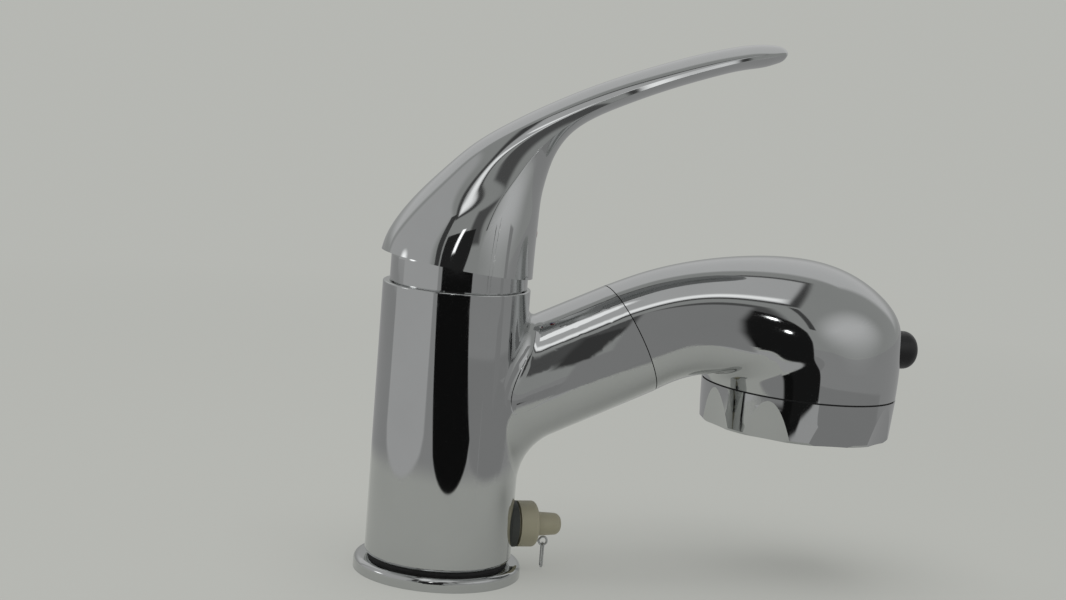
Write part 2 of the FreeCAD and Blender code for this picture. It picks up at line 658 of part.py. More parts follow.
def head_loft(inset):
    """Outer form of the spray head, drawn in by an inset."""
    start = MOUTH + V(SPOUT).multiply(GAP)
    up = V(-SPOUT.z, 0, SPOUT.x)
    wires = [ellipse(start + V(up).multiply(-MOUTH_R), start + V(up).multiply(MOUTH_R),
                     MOUTH_R, inset)]
    for (ix, iz), (ox, oz), half in NECK_STATIONS:
        wires.append(ellipse(MOUTH + V(ix, 0, iz), MOUTH + V(ox, 0, oz), half, inset))
    seam = V(HEAD_X, 0, HEAD_SEAM_Z)
    for (ix, iz), (ox, oz), half in DOME_STATIONS:
        wires.append(ellipse(seam + V(ix * HEAD_R, 0, iz * HEAD_H),
                             seam + V(ox * HEAD_R, 0, oz * HEAD_H), half * HEAD_R, inset))
    tilt = math.radians(HEAD_TILT)
    edge = V(math.cos(tilt) * HEAD_R, 0, -math.sin(tilt) * HEAD_R)
    wires.append(ellipse(seam - edge, seam + edge, HEAD_R, inset))
    return Part.makeLoft(wires, True, False)


def ellipse(inner, outer, half, inset):
    """Ellipse across the line from an inner to an outer point, with a half width in Y.

    It is four exact quarters that always start at the outer point, so that the slices of a
    loft match quarter for quarter and none is twisted against the next.
    """
    centre = (inner + outer) * 0.5
    chord = outer.sub(inner)
    reach = chord.Length / 2 - inset
    chord.normalize()
    top = V(chord).multiply(reach)
    side = V(0, half - inset, 0)
    quarters = []
    for first, last in ((top, side), (side, -top), (-top, -side), (-side, top)):
        quarter = Part.BezierCurve()
        quarter.setPoles([centre + first, centre + first + last, centre + last])
        quarter.setWeight(2, math.sqrt(0.5))
        quarters.append(quarter.toShape())
    return Part.Wire(quarters)


def head_shell():
    """Hollow spray head with its button pocket."""
    outer = head_loft(0.0)
    land = cylinder(LAND_R, V(LAND_X, 0, BUTTON_Z), V(LAND_X + BIG, 0, BUTTON_Z))
    outer = outer.cut(land)
    pocket_r = BUTTON_R + GAP
    cup = cylinder(pocket_r + POCKET_WALL, V(LAND_X - POCKET_DEPTH - POCKET_WALL, 0, BUTTON_Z),
                   V(LAND_X, 0, BUTTON_Z))
    shell = outer.cut(head_loft(HEAD_WALL)).fuse(cup.common(outer))
    pocket = cylinder(pocket_r, V(LAND_X - POCKET_DEPTH, 0, BUTTON_Z), V(LAND_X + BIG, 0, BUTTON_Z))
    hole = cylinder(SPINDLE_R + GAP, V(LAND_X - BIG / 8, 0, BUTTON_Z), V(LAND_X, 0, BUTTON_Z))
    hole = hole.common(cup)
    return shell.cut([pocket, hole]).Solids[0]


def inlet_pieces():
    """Shank that docks in the spout, with its thread, non-return valve, filter and seal."""
    shank = Part.makeCylinder(SHANK_R, SHANK_LEN + GAP, V(0, 0, -SHANK_LEN))
    flange = in_spout(Part.makeCylinder(MOUTH_R - HEAD_WALL - SLIP, SHANK_FLANGE_T,
                                        V(0, 0, GAP)))
    flange = flange.common(head_loft(HEAD_WALL + SLIP))
    thread = Part.makeCylinder(THREAD_R, THREAD_LEN, V(0, 0, -SHANK_LEN))
    bore = Part.makeCylinder(VALVE_R, THREAD_LEN + FILTER_T + VALVE_LEN, V(0, 0, -SHANK_LEN))
    way = Part.makeCylinder(WATER_R, SHANK_LEN + SHANK_FLANGE_T + GAP, V(0, 0, -SHANK_LEN))
    groove_z = -SHANK_SEAL_AT
    groove = ring(SHANK_R, SHANK_R - SHANK_SEAL_DEPTH, groove_z - SHANK_SEAL_W, groove_z)
    shank = in_spout(shank).fuse(flange).cut([in_spout(s) for s in (thread, bore, way, groove)])
    seal = ring(SHANK_R - SEAT, SHANK_R - SHANK_SEAL_DEPTH, groove_z - SHANK_SEAL_W, groove_z)
    filter_z = -SHANK_LEN + THREAD_LEN
    mesh = ring(VALVE_R - SLIP, WATER_R, filter_z, filter_z + FILTER_T)
    valve_z = filter_z + FILTER_T
    valve = ring(VALVE_R - SLIP, WATER_R - 1.2, valve_z, valve_z + VALVE_LEN)
    poppet = revolved([(0, valve_z + 3.0), (WATER_R - 1.4, valve_z + 3.0), (1.0, valve_z + 7.0),
                       (0, valve_z + 7.0)])
    spider = Part.makeBox(2 * (WATER_R - 1.0), 1.0, 1.0, V(-WATER_R + 1.0, -0.5, valve_z + 3.0))
    valve = valve.fuse([poppet, spider])
    return {"head_shank": shank, "shank_seal": in_spout(seal),
            "inlet_filter": in_spout(mesh), "check_valve": in_spout(valve)}


def water_pieces():
    """Waterway from the shank and the diverter body that feeds the spray plate."""
    start = MOUTH + V(SPOUT).multiply(GAP + SHANK_FLANGE_T)
    bend = start + V(SPOUT).multiply(ELBOW_LEN)
    end = V(DIVERTER_X0, 0, BUTTON_Z)
    past = end + OUT * PIPE_R
    beyond = cylinder(BIG / 2, end, end + OUT * BIG)
    pipe = fluid_path(PIPE_R, start, bend, end).fuse(cylinder(PIPE_R, end, past)).cut(beyond)
    water = fluid_path(WATER_R, start, bend, end)
    axis_in = V(DIVERTER_X0, 0, BUTTON_Z)
    axis_out = V(DIVERTER_X1, 0, BUTTON_Z)
    down = V(HEAD_X, 0, HEAD_SEAM_Z - RING_H)
    drum = cylinder(DIVERTER_R, axis_in, axis_out)
    leg = cylinder(PLATE_HUB_R - 2.0, V(HEAD_X, 0, BUTTON_Z), down)
    plate_room = in_head(Part.makeCylinder(HEAD_R, BIG, V(0, 0, hub_top() - HEAD_SEAM_Z - BIG)))
    drum = drum.fuse(leg).cut(plate_room)
    spindle_way = cylinder(SPINDLE_R + RUN, V(button_back() - SPINDLE_IN - BUTTON_TRAVEL - GAP, 0,
                                              BUTTON_Z), axis_out)
    feed = cylinder(WATER_R, axis_in, V(HEAD_X, 0, BUTTON_Z))
    drop = cylinder(WATER_R, V(HEAD_X, 0, BUTTON_Z), down)
    drum = drum.cut([spindle_way, feed, drop])
    return {"waterway": pipe.cut(water), "diverter_body": drum}


def hub_top():
    """Height at which the diverter's leg meets the spray plate's hub."""
    return HEAD_SEAM_Z - 1.0


def fluid_path(radius, start, bend, end):
    """Solid of a pipe's outside or bore along two straight runs with a round elbow."""
    return cylinder(radius, start, bend).fuse([Part.makeSphere(radius, bend),
                                               cylinder(radius, bend, end)])


def button_back():
    """Back face of the diverter button at rest."""
    return LAND_X - POCKET_DEPTH + BUTTON_TRAVEL + GAP


def button_pieces():
    """Diverter button, its spindle and its return spring."""
    back = button_back()
    button = cylinder(BUTTON_R, V(back, 0, BUTTON_Z), V(BUTTON_TIP_X, 0, BUTTON_Z))
    button = rounded(button, BUTTON_DOME, lambda p: p.x > BUTTON_TIP_X - 0.01)
    bore_end = BUTTON_TIP_X - BUTTON_DOME
    button = button.cut(cylinder(BUTTON_BORE_R, V(back, 0, BUTTON_Z), V(bore_end, 0, BUTTON_Z)))
    spindle = cylinder(SPINDLE_R, V(back - SPINDLE_IN, 0, BUTTON_Z), V(bore_end, 0, BUTTON_Z))
    floor = LAND_X - POCKET_DEPTH
    length = bore_end - floor
    spring = ring(SPRING_R, SPRING_R - SPRING_WIRE * 2, 0, length)
    spring = placed(spring, V(floor, 0, BUTTON_Z), OUT)
    return {"diverter_button": button, "diverter_spindle": spindle, "diverter_spring": spring}


def spray_pieces():
    """Spray ring, gasket, plate, nozzles and aerator, built about the seam and then tilted."""
    low = -RING_H
    top = -HEAD_GASKET_T
    inner = RING_LOW_R - RING_WALL
    outside = revolved([(0, low), (RING_LOW_R - RING_LIP, low), (RING_LOW_R, low + RING_LIP),
                        (HEAD_R, top), (0, top)])
    spray_ring = outside.cut(Part.makeCylinder(inner, RING_H, V(0, 0, low)))
    fade_r = RING_LOW_R + (HEAD_R - RING_LOW_R) * SCALLOP_H / RING_H
    foot_r = RING_LOW_R - SCALLOP_DEPTH
    reach = SCALLOP_R / math.cos(math.atan2(fade_r - foot_r, SCALLOP_H))
    foot = V(foot_r + reach, 0, low)
    fade = V(fade_r + reach, 0, low + SCALLOP_H)
    scoop = cylinder(SCALLOP_R, foot * 2 - fade, fade * 2 - foot)
    for index in range(SCALLOPS):
        turned = scoop.copy()
        turned.rotate(ORIGIN, UP, scallop_angle(index))
        spray_ring = spray_ring.cut(turned)

    gasket = ring(HEAD_R - HEAD_GASKET_INSET, inner, top, 0)
    plate_low = low + PLATE_RECESS
    plate_top = plate_low + PLATE_T
    plate = Part.makeCylinder(inner - SLIP, PLATE_T, V(0, 0, plate_low))
    hub_h = hub_top() - HEAD_SEAM_Z - plate_top
    plate = plate.fuse(Part.makeCylinder(AERATOR_R + 2.0, hub_h, V(0, 0, plate_top)))
    hub_room = Part.makeCylinder(AERATOR_R + SLIP, AERATOR_H, V(0, 0, plate_low))
    plate = plate.cut([hub_room, Part.makeCylinder(WATER_R, RING_H, V(0, 0, plate_low))])
    holes, tips = [], []
    for radius, count in NOZZLE_RINGS:
        for index in range(count):
            angle = 2 * math.pi * index / count
            spot = V(radius * math.cos(angle), radius * math.sin(angle), plate_low)
            holes.append(Part.makeCylinder(NOZZLE_R + 0.02, PLATE_T, spot))
            tips.append(Part.makeCylinder(NOZZLE_R, PLATE_T + NOZZLE_OUT,
                                          spot - V(0, 0, NOZZLE_OUT)))
    plate = plate.cut(holes)
    sleeve = ring(AERATOR_R, AERATOR_R - AERATOR_WALL, plate_low - 0.4, plate_low + AERATOR_H - 1.0)
    screen = Part.makeCylinder(AERATOR_R - AERATOR_WALL, MESH_T, V(0, 0, plate_low + 1.2))
    pitch = 2 * (AERATOR_R - AERATOR_WALL) / (MESH_SLOTS + 1)
    for index in range(MESH_SLOTS):
        for other in range(MESH_SLOTS):
            x = (index - (MESH_SLOTS - 1) / 2) * pitch
            y = (other - (MESH_SLOTS - 1) / 2) * pitch
            if math.hypot(x, y) < AERATOR_R - AERATOR_WALL - MESH_SLOT:
                slot = Part.makeBox(MESH_SLOT, MESH_SLOT, RING_H,
                                    V(x - MESH_SLOT / 2, y - MESH_SLOT / 2, low))
                screen = screen.cut(slot)
    pieces = {"head_gasket": gasket, "spray_ring": spray_ring, "spray_plate": plate,
              "spray_nozzles": Part.makeCompound(tips), "aerator_sleeve": sleeve,
              "aerator_screen": screen}
    return {name: in_head(shape) for name, shape in pieces.items()}


def scallop_angle(index):
    """Bearing of one finger scallop on the spray ring."""
    return 360.0 * index / SCALLOPS - 90.0


def anchor_pieces():
    """Chain anchor on the body's foot: flange, plastic anchor, wire eye and hanging link."""
    outline = cylinder(ANCHOR_FLANGE_R, V(0, 0, ANCHOR_Z), V(ANCHOR_FLANGE_X, 0, ANCHOR_Z))
    bore = cylinder(ANCHOR_SHANK_R, V(0, 0, ANCHOR_Z), V(BIG, 0, ANCHOR_Z))
    flange = outline.cut([body_cone(), bore])
    start = ANCHOR_FLANGE_X
    disc_x = start + ANCHOR_GROOVE
    parts = [cylinder(ANCHOR_GROOVE_R, V(start, 0, ANCHOR_Z), V(disc_x, 0, ANCHOR_Z))]
    disc = cylinder(ANCHOR_DISC_R, V(disc_x, 0, ANCHOR_Z), V(ANCHOR_DISC_X, 0, ANCHOR_Z))
    parts.append(rounded(disc, ANCHOR_DISC_EDGE, lambda p: p.x > ANCHOR_DISC_X - 0.01))
    nose_len = ANCHOR_NOSE_X - ANCHOR_DISC_X + 1.0
    nose = Part.makeCone(ANCHOR_NOSE_R, ANCHOR_NOSE_TIP_R, nose_len,
                         V(ANCHOR_DISC_X - 1.0, 0, ANCHOR_Z), OUT)
    parts.append(rounded(nose, ANCHOR_NOSE_EDGE, lambda p: p.x > ANCHOR_NOSE_X - 0.01))
    parts.append(cylinder(ANCHOR_SHANK_R, V(ANCHOR_SHANK_X, 0, ANCHOR_Z), V(start, 0, ANCHOR_Z)))
    anchor = parts[0].fuse(parts[1:])
    eye_z = ANCHOR_Z - ANCHOR_NOSE_R - EYE_R - EYE_WIRE
    eye = Part.makeTorus(EYE_R, EYE_WIRE, V(EYE_X, 0, eye_z), V(0, 1, 0))
    tail = cylinder(EYE_WIRE, V(ANCHOR_DISC_X - 2.0, 0, eye_z), V(EYE_X - EYE_R, 0, eye_z))
    eye = eye.fuse(tail)
    anchor = anchor.cut(eye)
    link_top = eye_z - EYE_R + EYE_WIRE + RUN + LINK_WIRE
    link = hanging_link(V(EYE_X, 0, link_top))
    return {"anchor_flange": flange, "chain_anchor": anchor, "anchor_eye": eye,
            "chain_link": link}


def hanging_link(top):
    """Long wire link that hangs in the YZ plane from its upper bend."""
    drop = V(0, 0, -LINK_LEN)
    upper = top - V(0, 0, LINK_W)
    side = V(0, LINK_W, 0)
    left, right = upper + side, upper - side
    edges = [Part.Arc(left, top, right).toShape(),
             Part.LineSegment(right, right + drop).toShape(),
             Part.Arc(right + drop, upper + drop - V(0, 0, LINK_W), left + drop).toShape(),
             Part.LineSegment(left + drop, left).toShape()]
    path = Part.Wire(edges)
    section = Part.Wire(Part.makeCircle(LINK_WIRE, left, V(0, 0, 1)))
    return path.makePipeShell([section], True, True)


def build():
    """All pieces by name."""
    pieces = {"body_casting": body_casting()}
    for group in (base_pieces, cartridge_pieces, disc_pieces, carrier_pieces, lever_pieces,
                  docking_pieces, inlet_pieces, water_pieces, button_pieces, spray_pieces,
                  anchor_pieces):
        pieces.update(group())
    pieces["head_shell"] = head_shell()
    return pieces


def main():
    """Write one STEP file for each piece."""
    os.makedirs("parts", exist_ok=True)
    for name, shape in build().items():
        shape.exportStep(os.path.join("parts", name + ".step"))
        print(name, shape.isValid(), len(shape.Solids), round(shape.Volume, 1))


if __name__ == "__main__":
    main()
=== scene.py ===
"""Looks of the single-lever basin mixer tap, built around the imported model.

The lever handle and the spray head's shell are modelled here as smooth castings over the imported
solids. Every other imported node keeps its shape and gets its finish. The studio round the tap has a
pale floor, soft light, and the dark openings and pale panels that the chrome reflects, and the
camera stands at the photograph's viewing angle.

The studio has its own axes, in metres: x to the right, y away from the camera and z up. Bearings
round the tap's axis are in degrees, from 0 toward the camera to 90 at the right.
"""
import json
import logging
import math
from contextlib import contextmanager
from dataclasses import dataclass, field
from enum import Enum
from itertools import accumulate
from typing import Iterator, Sequence

import bpy
import numpy as np
from mathutils import Matrix, Vector

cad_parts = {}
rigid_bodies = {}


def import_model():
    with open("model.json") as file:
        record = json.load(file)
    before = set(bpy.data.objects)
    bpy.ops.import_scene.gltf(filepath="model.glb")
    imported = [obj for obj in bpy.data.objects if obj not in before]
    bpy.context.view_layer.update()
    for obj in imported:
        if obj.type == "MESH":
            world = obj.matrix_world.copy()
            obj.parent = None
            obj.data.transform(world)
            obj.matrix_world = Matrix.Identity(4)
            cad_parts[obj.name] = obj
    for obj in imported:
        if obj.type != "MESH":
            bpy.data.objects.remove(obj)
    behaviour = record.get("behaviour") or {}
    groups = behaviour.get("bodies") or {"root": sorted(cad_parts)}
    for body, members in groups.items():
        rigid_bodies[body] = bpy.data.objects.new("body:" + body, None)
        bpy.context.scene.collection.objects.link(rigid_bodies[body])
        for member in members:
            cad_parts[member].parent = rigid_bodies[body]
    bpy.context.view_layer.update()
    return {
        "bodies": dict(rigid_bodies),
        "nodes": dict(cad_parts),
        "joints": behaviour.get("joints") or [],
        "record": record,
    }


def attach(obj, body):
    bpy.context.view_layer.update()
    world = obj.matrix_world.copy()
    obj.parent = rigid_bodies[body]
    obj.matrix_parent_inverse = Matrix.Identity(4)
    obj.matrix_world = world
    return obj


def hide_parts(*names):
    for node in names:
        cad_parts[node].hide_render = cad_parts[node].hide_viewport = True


Piece = bpy.types.Object
Socket = bpy.types.NodeSocket
Pair = tuple[float, float]
Point = tuple[float, float, float]
Colour = tuple[float, float, float]
Corners = tuple[Point, ...]

LOG = logging.getLogger("tap")
MM = 0.001
# One millimetre out along the spout
OUTWARD = Vector((MM, 0.0, 0.0))
SKIN_SMOOTH = math.radians(38.0)
CUT_SMOOTH = math.radians(32.0)
SKIN_LEVELS = 2
BORE_SIDES = 32

# Flag before the spray head, and the bright spots that lie on it
FLAG_FOOT = (0.092, -0.0786)
FLAG_TURN = math.radians(35.4)
SPOT_LIFT = 0.0015
SPOT_R = 0.005
# Dark card on the floor, which runs on up the sill
DARK_BEARINGS = (-28.0, 22.0)
DARK_REACH = 0.60
DARK_LEVEL = 0.007
DARK_SOFT = 0.004
# Heights of the cards over the floor and over the tap
FLOOR_CARD_Z = 0.0008
FLOOR_FLAG_Z = 0.0011
TOP_Z = 0.9
TOP_GAP = 0.001


class HiddenFrom(Enum):
    """Rays that pass through the studio's cards, by the name of Blender's switch."""

    CAMERA = "visible_camera"
    DIFFUSE = "visible_diffuse"
    SHADOW = "visible_shadow"
    TRANSMISSION = "visible_transmission"


@contextmanager
def edit_mode() -> Iterator[None]:
    """Holds the active piece in edit mode."""
    bpy.ops.object.mode_set(mode="EDIT")
    yield
    bpy.ops.object.mode_set(mode="OBJECT")


def deselect_all() -> None:
    """Deselects every object."""
    bpy.ops.object.select_all(action="DESELECT")


def shade(colour: Colour, share: float) -> Colour:
    """Scales a colour's brightness."""
    return tuple(c * share for c in colour)


def turns_round(sides: int) -> list[float]:
    """Angles of a circle's corners, in radians."""
    return [2.0 * math.pi * i / sides for i in range(sides)]


@dataclass(frozen=True)
class Pattern:
    """Noise of a finish: cycles per metre, finer layers, their strength and scale along the axes."""

    scale: float
    detail: float = 3.0
    roughness: float = 0.5
    stretch: Point = (1.0, 1.0, 1.0)


TOOL_LINES = Pattern(900.0, 3.0, 0.5, (0.08, 0.08, 1.0))


class NodeBench:
    """Small helper that adds shader nodes to one material and links them."""

    def __init__(self, name: str) -> None:
        """Makes an empty material of a name."""
        self.material = bpy.data.materials.new(name)
        self.material.use_nodes = True
        self.tree = self.material.node_tree
        self.tree.nodes.clear()
        self.output = self.tree.nodes.new("ShaderNodeOutputMaterial")
        self.coordinates = self.tree.nodes.new("ShaderNodeTexCoord")

    def add(self, kind: str, **values: object) -> bpy.types.Node:
        """Adds a node and sets its sockets.

        Args:
            kind: Blender's node type.
            **values: Values of input sockets, by the socket's name with _ for a space.

        Returns:
            The new node.
        """
        node = self.tree.nodes.new(kind)
        for key, value in values.items():
            node.inputs[key.replace("_", " ")].default_value = value
        return node

    def link(self, source: Socket, target: Socket) -> None:
        """Links an output socket to an input socket."""
        self.tree.links.new(source, target)

    def drive(self, node: bpy.types.Node, **sources: Socket) -> None:
        """Links outputs to a node's sockets, by the socket's name with _ for a space."""
        for key, source in sources.items():
            self.link(source, node.inputs[key.replace("_", " ")])

    def noise(self, pattern: Pattern) -> Socket:
        """Adds a noise pattern on the piece's own coordinates, with values from 0 to 1."""
        mapping = self.add("ShaderNodeMapping", Scale=pattern.stretch)
        self.drive(mapping, Vector=self.coordinates.outputs["Object"])
        node = self.add("ShaderNodeTexNoise", Scale=pattern.scale, Detail=pattern.detail,
                        Roughness=pattern.roughness)
        self.drive(node, Vector=mapping.outputs["Vector"])
        return node.outputs["Fac"]

    def spread(self, value: Socket, low: float, high: float, start: float = 0.3,
               end: float = 0.7) -> Socket:
        """Maps a pattern to a range of numbers.

        Args:
            value: The pattern.
            low: Number where the pattern is at or under start.
            high: Number where the pattern is at or over end.
            start: Lower end of the pattern's range.
            end: Upper end of the pattern's range.

        Returns:
            The mapped number.
        """
        node = self.add("ShaderNodeMapRange", From_Min=start, From_Max=end, To_Min=low, To_Max=high)
        self.drive(node, Value=value)
        return node.outputs["Result"]

    def blend(self, share: Socket, first: Colour, second: Colour) -> Socket:
        """Mixes two colours by a pattern.

        Args:
            share: Pattern from 0, the first colour, to 1, the second.
            first: First colour.
            second: Second colour.

        Returns:
            The mixed colour.
        """
        node = self.tree.nodes.new("ShaderNodeMix")
        node.data_type = "RGBA"
        node.inputs["A"].default_value = (*first, 1.0)
        node.inputs["B"].default_value = (*second, 1.0)
        self.drive(node, Factor=share)
        return node.outputs["Result"]

    def bump(self, height: Socket, strength: float, distance: float) -> Socket:
        """Adds fine relief from a pattern.

        Args:
            height: The pattern.
            strength: Share of the relief that is used.
            distance: Height of the relief in metres.

        Returns:
            The normal for the shader.
        """
        node = self.add("ShaderNodeBump", Strength=strength, Distance=distance)
        self.drive(node, Height=height)
        return node.outputs["Normal"]

    def surface(self, **values: object) -> bpy.types.Node:
        """Adds the Principled shader, links it to the output and sets its sockets."""
        shader = self.add("ShaderNodeBsdfPrincipled", **values)
        self.drive(self.output, Surface=shader.outputs["BSDF"])
        return shader

    def mix(self, share: Socket, first: Socket, second: Socket) -> None:
        """Mixes two shaders, by a share of the second, and links the mix to the output."""
        node = self.add("ShaderNodeMixShader")
        self.drive(node, Fac=share)
        self.link(first, node.inputs[1])
        self.link(second, node.inputs[2])
        self.drive(self.output, Surface=node.outputs["Shader"])


@dataclass(frozen=True)
class Finish:
    """Finish whose tone and roughness follow a noise pattern, with a fine grain where it has one.

    Roughness and tones are pairs: the value at the pattern's low end and at its high end.
    """

    name: str
    colour: Colour
    roughness: Pair
    pattern: Pattern = Pattern(120.0, 4.0)
    span: Pair = (0.3, 0.7)
    tones: Pair = (1.0, 1.0)
    bloom: float = 0.0
    metallic: float = 0.0
    coat: float = 0.0
    grain: Pattern | None = None
    grain_strength: float = 0.35
    grain_depth: float = 0.00004

    def tint(self, bench: NodeBench, share: Socket) -> Socket:
        """Colour that follows the pattern."""
        low, high = (shade(self.colour, tone) for tone in self.tones)
        return bench.blend(share, low, tuple(c + self.bloom for c in high))

    def build(self) -> bpy.types.Material:
        """Makes the material."""
        bench = NodeBench(self.name)
        shader = bench.surface(Metallic=self.metallic, Coat_Weight=self.coat)
        share = bench.spread(bench.noise(self.pattern), 0.0, 1.0, *self.span)
        bench.drive(shader, Base_Color=self.tint(bench, share),
                    Roughness=bench.spread(share, *self.roughness, 0.0, 1.0))
        if self.grain is not None:
            relief = bench.bump(bench.noise(self.grain), self.grain_strength, self.grain_depth)
            bench.drive(shader, Normal=relief)
        return bench.material


@dataclass(frozen=True)
class PolishedChrome(Finish):
    """Bright chrome plate on a polished casting or moulding, with faint handling marks."""

    colour: Colour = (0.545, 0.556, 0.556)
    roughness: Pair = (0.035, 0.075)
    pattern: Pattern = Pattern(38.0, 5.0, 0.6)
    span: Pair = (0.42, 0.68)
    tones: Pair = (1.0, 0.97)
    metallic: float = 1.0


@dataclass(frozen=True)
class MouldedPlastic(Finish):
    """Moulded plastic with a fine grain and a slight change of tone."""

    roughness: Pair = (0.378, 0.483)
    tones: Pair = (0.92, 1.0)
    grain: Pattern | None = Pattern(2600.0, 2.0)


@dataclass(frozen=True)
class SoftRubber(Finish):
    """Black or dark grey rubber of seals and nozzles, with a pale bloom."""

    roughness: Pair = (0.65, 0.80)
    pattern: Pattern = Pattern(260.0, 5.0, 0.6)
    tones: Pair = (1.0, 1.5)
    bloom: float = 0.01
    grain: Pattern | None = Pattern(3200.0, 2.0)
    grain_strength: float = 0.4
    grain_depth: float = 0.00003


@dataclass(frozen=True)
class TurnedMetal(Finish):
    """Turned or drawn metal with fine tool lines round the vertical axis."""

    roughness: Pair = (0.224, 0.364)
    pattern: Pattern = TOOL_LINES
    tones: Pair = (0.86, 1.0)
    metallic: float = 1.0
    grain: Pattern | None = TOOL_LINES
    grain_strength: float = 0.3
    grain_depth: float = 0.00003


@dataclass(frozen=True)
class GroundCeramic(Finish):
    """Lapped ceramic of the cartridge's discs."""

    roughness: Pair = (0.22, 0.34)
    pattern: Pattern = Pattern(1400.0, 4.0)
    tones: Pair = (0.9, 1.0)
    coat: float = 0.2


@dataclass(frozen=True)
class HotColdPlug(Finish):
    """Index plug whose halves are red and blue, split on the tap's symmetry plane."""

    colour: Colour = (0.32, 0.012, 0.015)
    cold: Colour = (0.012, 0.05, 0.26)
    roughness: Pair = (0.2, 0.3)
    pattern: Pattern = Pattern(700.0)
    coat: float = 0.5
    split_half: float = 0.00008

    def tint(self, bench: NodeBench, share: Socket) -> Socket:
        """Red on the -Y side and blue on the +Y side."""
        place = bench.add("ShaderNodeSeparateXYZ")
        bench.drive(place, Vector=bench.coordinates.outputs["Object"])
        side = bench.spread(place.outputs["Y"], 0.0, 1.0, -self.split_half, self.split_half)
        return bench.blend(side, self.colour, self.cold)


@dataclass
class Finishes:
    """All finishes of the tap, by the record's slot name."""

    built: dict[str, bpy.types.Material] = field(default_factory=dict)

    def build(self) -> None:
        """Makes every finish once."""
        for finish in (
            PolishedChrome("chromed_body"),
            PolishedChrome("chromed_lever"),
            PolishedChrome("chromed_head"),
            SoftRubber("seal_rubber", (0.015, 0.015, 0.016)),
            MouldedPlastic("white_plastic", (0.72, 0.72, 0.69)),
            MouldedPlastic("grey_plastic", (0.2, 0.21, 0.22)),
            GroundCeramic("disc_ceramic", (0.82, 0.80, 0.75)),
            TurnedMetal("plain_brass", (0.72, 0.55, 0.27)),
            TurnedMetal("plain_steel", (0.56, 0.57, 0.58)),
            HotColdPlug("index_red_blue"),
            SoftRubber("nozzle_rubber", (0.055, 0.056, 0.06), (0.5, 0.65)),
            MouldedPlastic("button_black", (0.008, 0.008, 0.009), (0.324, 0.414),
                           grain_depth=0.00002),
            MouldedPlastic("anchor_cream", (0.47, 0.44, 0.32), (0.45, 0.575),
                           grain_depth=0.00003),
            MouldedPlastic("anchor_grey", (0.05, 0.055, 0.05), (0.45, 0.575)),
        ):
            self.built[finish.name] = finish.build()

    def dress(self, frame: dict) -> None:
        """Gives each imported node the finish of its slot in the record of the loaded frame."""
        slots = {part["node"]: part["material_slot"] for part in frame["record"]["subparts"]}
        for name, obj in frame["nodes"].items():
            obj.data.materials.clear()
            obj.data.materials.append(self.built[slots[name]])


def glow_material(name: str, level: float) -> bpy.types.Material:
    """Makes a plain glow that fades out where the piece's core attribute falls to 0."""
    bench = NodeBench(name)
    glow = bench.add("ShaderNodeEmission", Color=(1.0, 1.0, 1.0, 1.0), Strength=level)
    clear = bench.add("ShaderNodeBsdfTransparent")
    core = bench.add("ShaderNodeAttribute")
    core.attribute_name = "core"
    fade = bench.add("ShaderNodeMapRange")
    fade.interpolation_type = "SMOOTHSTEP"
    bench.drive(fade, Value=core.outputs["Fac"])
    bench.mix(fade.outputs["Result"], clear.outputs["BSDF"], glow.outputs["Emission"])
    return bench.material


def light_card(card: Piece, level: float, core: Sequence[bool]) -> None:
    """Gives a piece of the studio its glow and leaves it to the reflections.

    Args:
        card: The piece.
        level: Strength of the glow.
        core: Whether the glow is full at each of the piece's vertices.
    """
    share = card.data.attributes.new("core", "FLOAT", "POINT")
    for index, full in enumerate(core):
        share.data[index].value = float(full)
    card.data.materials.append(glow_material(card.name, level))
    for rays in HiddenFrom:
        setattr(card, rays.value, False)


@dataclass
class Card:
    """Flat reflector or flag of the studio, given by its corners, with a soft edge inside them."""

    name: str
    corners: Corners
    level: float
    soft: float

    def build(self, turn: Matrix) -> Piece:
        """Makes the card, with a turn from the studio's axes to the tap's."""
        deselect_all()
        bpy.ops.mesh.primitive_circle_add(vertices=len(self.corners), fill_type="NGON")
        card = bpy.context.object
        card.name = self.name
        for vertex, corner in zip(card.data.vertices, self.corners):
            vertex.co = turn @ Vector(corner)
        with edit_mode():
            bpy.ops.mesh.select_all(action="SELECT")
            bpy.ops.mesh.inset(thickness=self.soft)
        light_card(card, self.level, [v.index >= len(self.corners) for v in card.data.vertices])
        return card


@dataclass
class FloorRing:
    """Level ring round the tap that the chrome reflects as the room's floor, faded at its edge."""

    name: str
    level: float
    inner_r: float = 0.145
    full_r: float = 0.19
    outer_r: float = 6.0
    height: float = 0.0005
    sides: int = 96
    full_from: float = 0.9

    def build(self) -> Piece:
        """Makes the ring: a circle extruded and scaled twice."""
        deselect_all()
        bpy.ops.mesh.primitive_circle_add(vertices=self.sides, radius=self.inner_r,
                                          fill_type="NOTHING", location=(0.0, 0.0, self.height))
        ring = bpy.context.object
        ring.name = self.name
        bpy.ops.object.transform_apply()
        with edit_mode():
            reach = self.inner_r
            for radius in (self.full_r, self.outer_r):
                bpy.ops.mesh.extrude_region_move()
                bpy.ops.transform.resize(value=(radius / reach, radius / reach, 1.0),
                                         center_override=(0.0, 0.0, self.height))
                reach = radius
        light_card(ring, self.level, [v.co.xy.length > self.full_from * self.full_r
                                      for v in ring.data.vertices])
        return ring


def between(pair: Pair, share: float) -> float:
    """Number at a share of the way from the first of a pair to the second."""
    return pair[0] + (pair[1] - pair[0]) * share


def at_bearing(bearing: float, reach: float, height: float) -> Point:
    """Point at a bearing, a distance from the tap's axis and a height over the floor."""
    angle = math.radians(bearing)
    return (reach * math.sin(angle), -reach * math.cos(angle), height)


def disc(centre: Point, across: Point, upward: Point, sides: int) -> Corners:
    """Corners of a disc or an ellipse, from its centre and its two half axes."""
    return tuple(tuple(c + a * math.cos(t) + u * math.sin(t)
                       for c, a, u in zip(centre, across, upward)) for t in turns_round(sides))


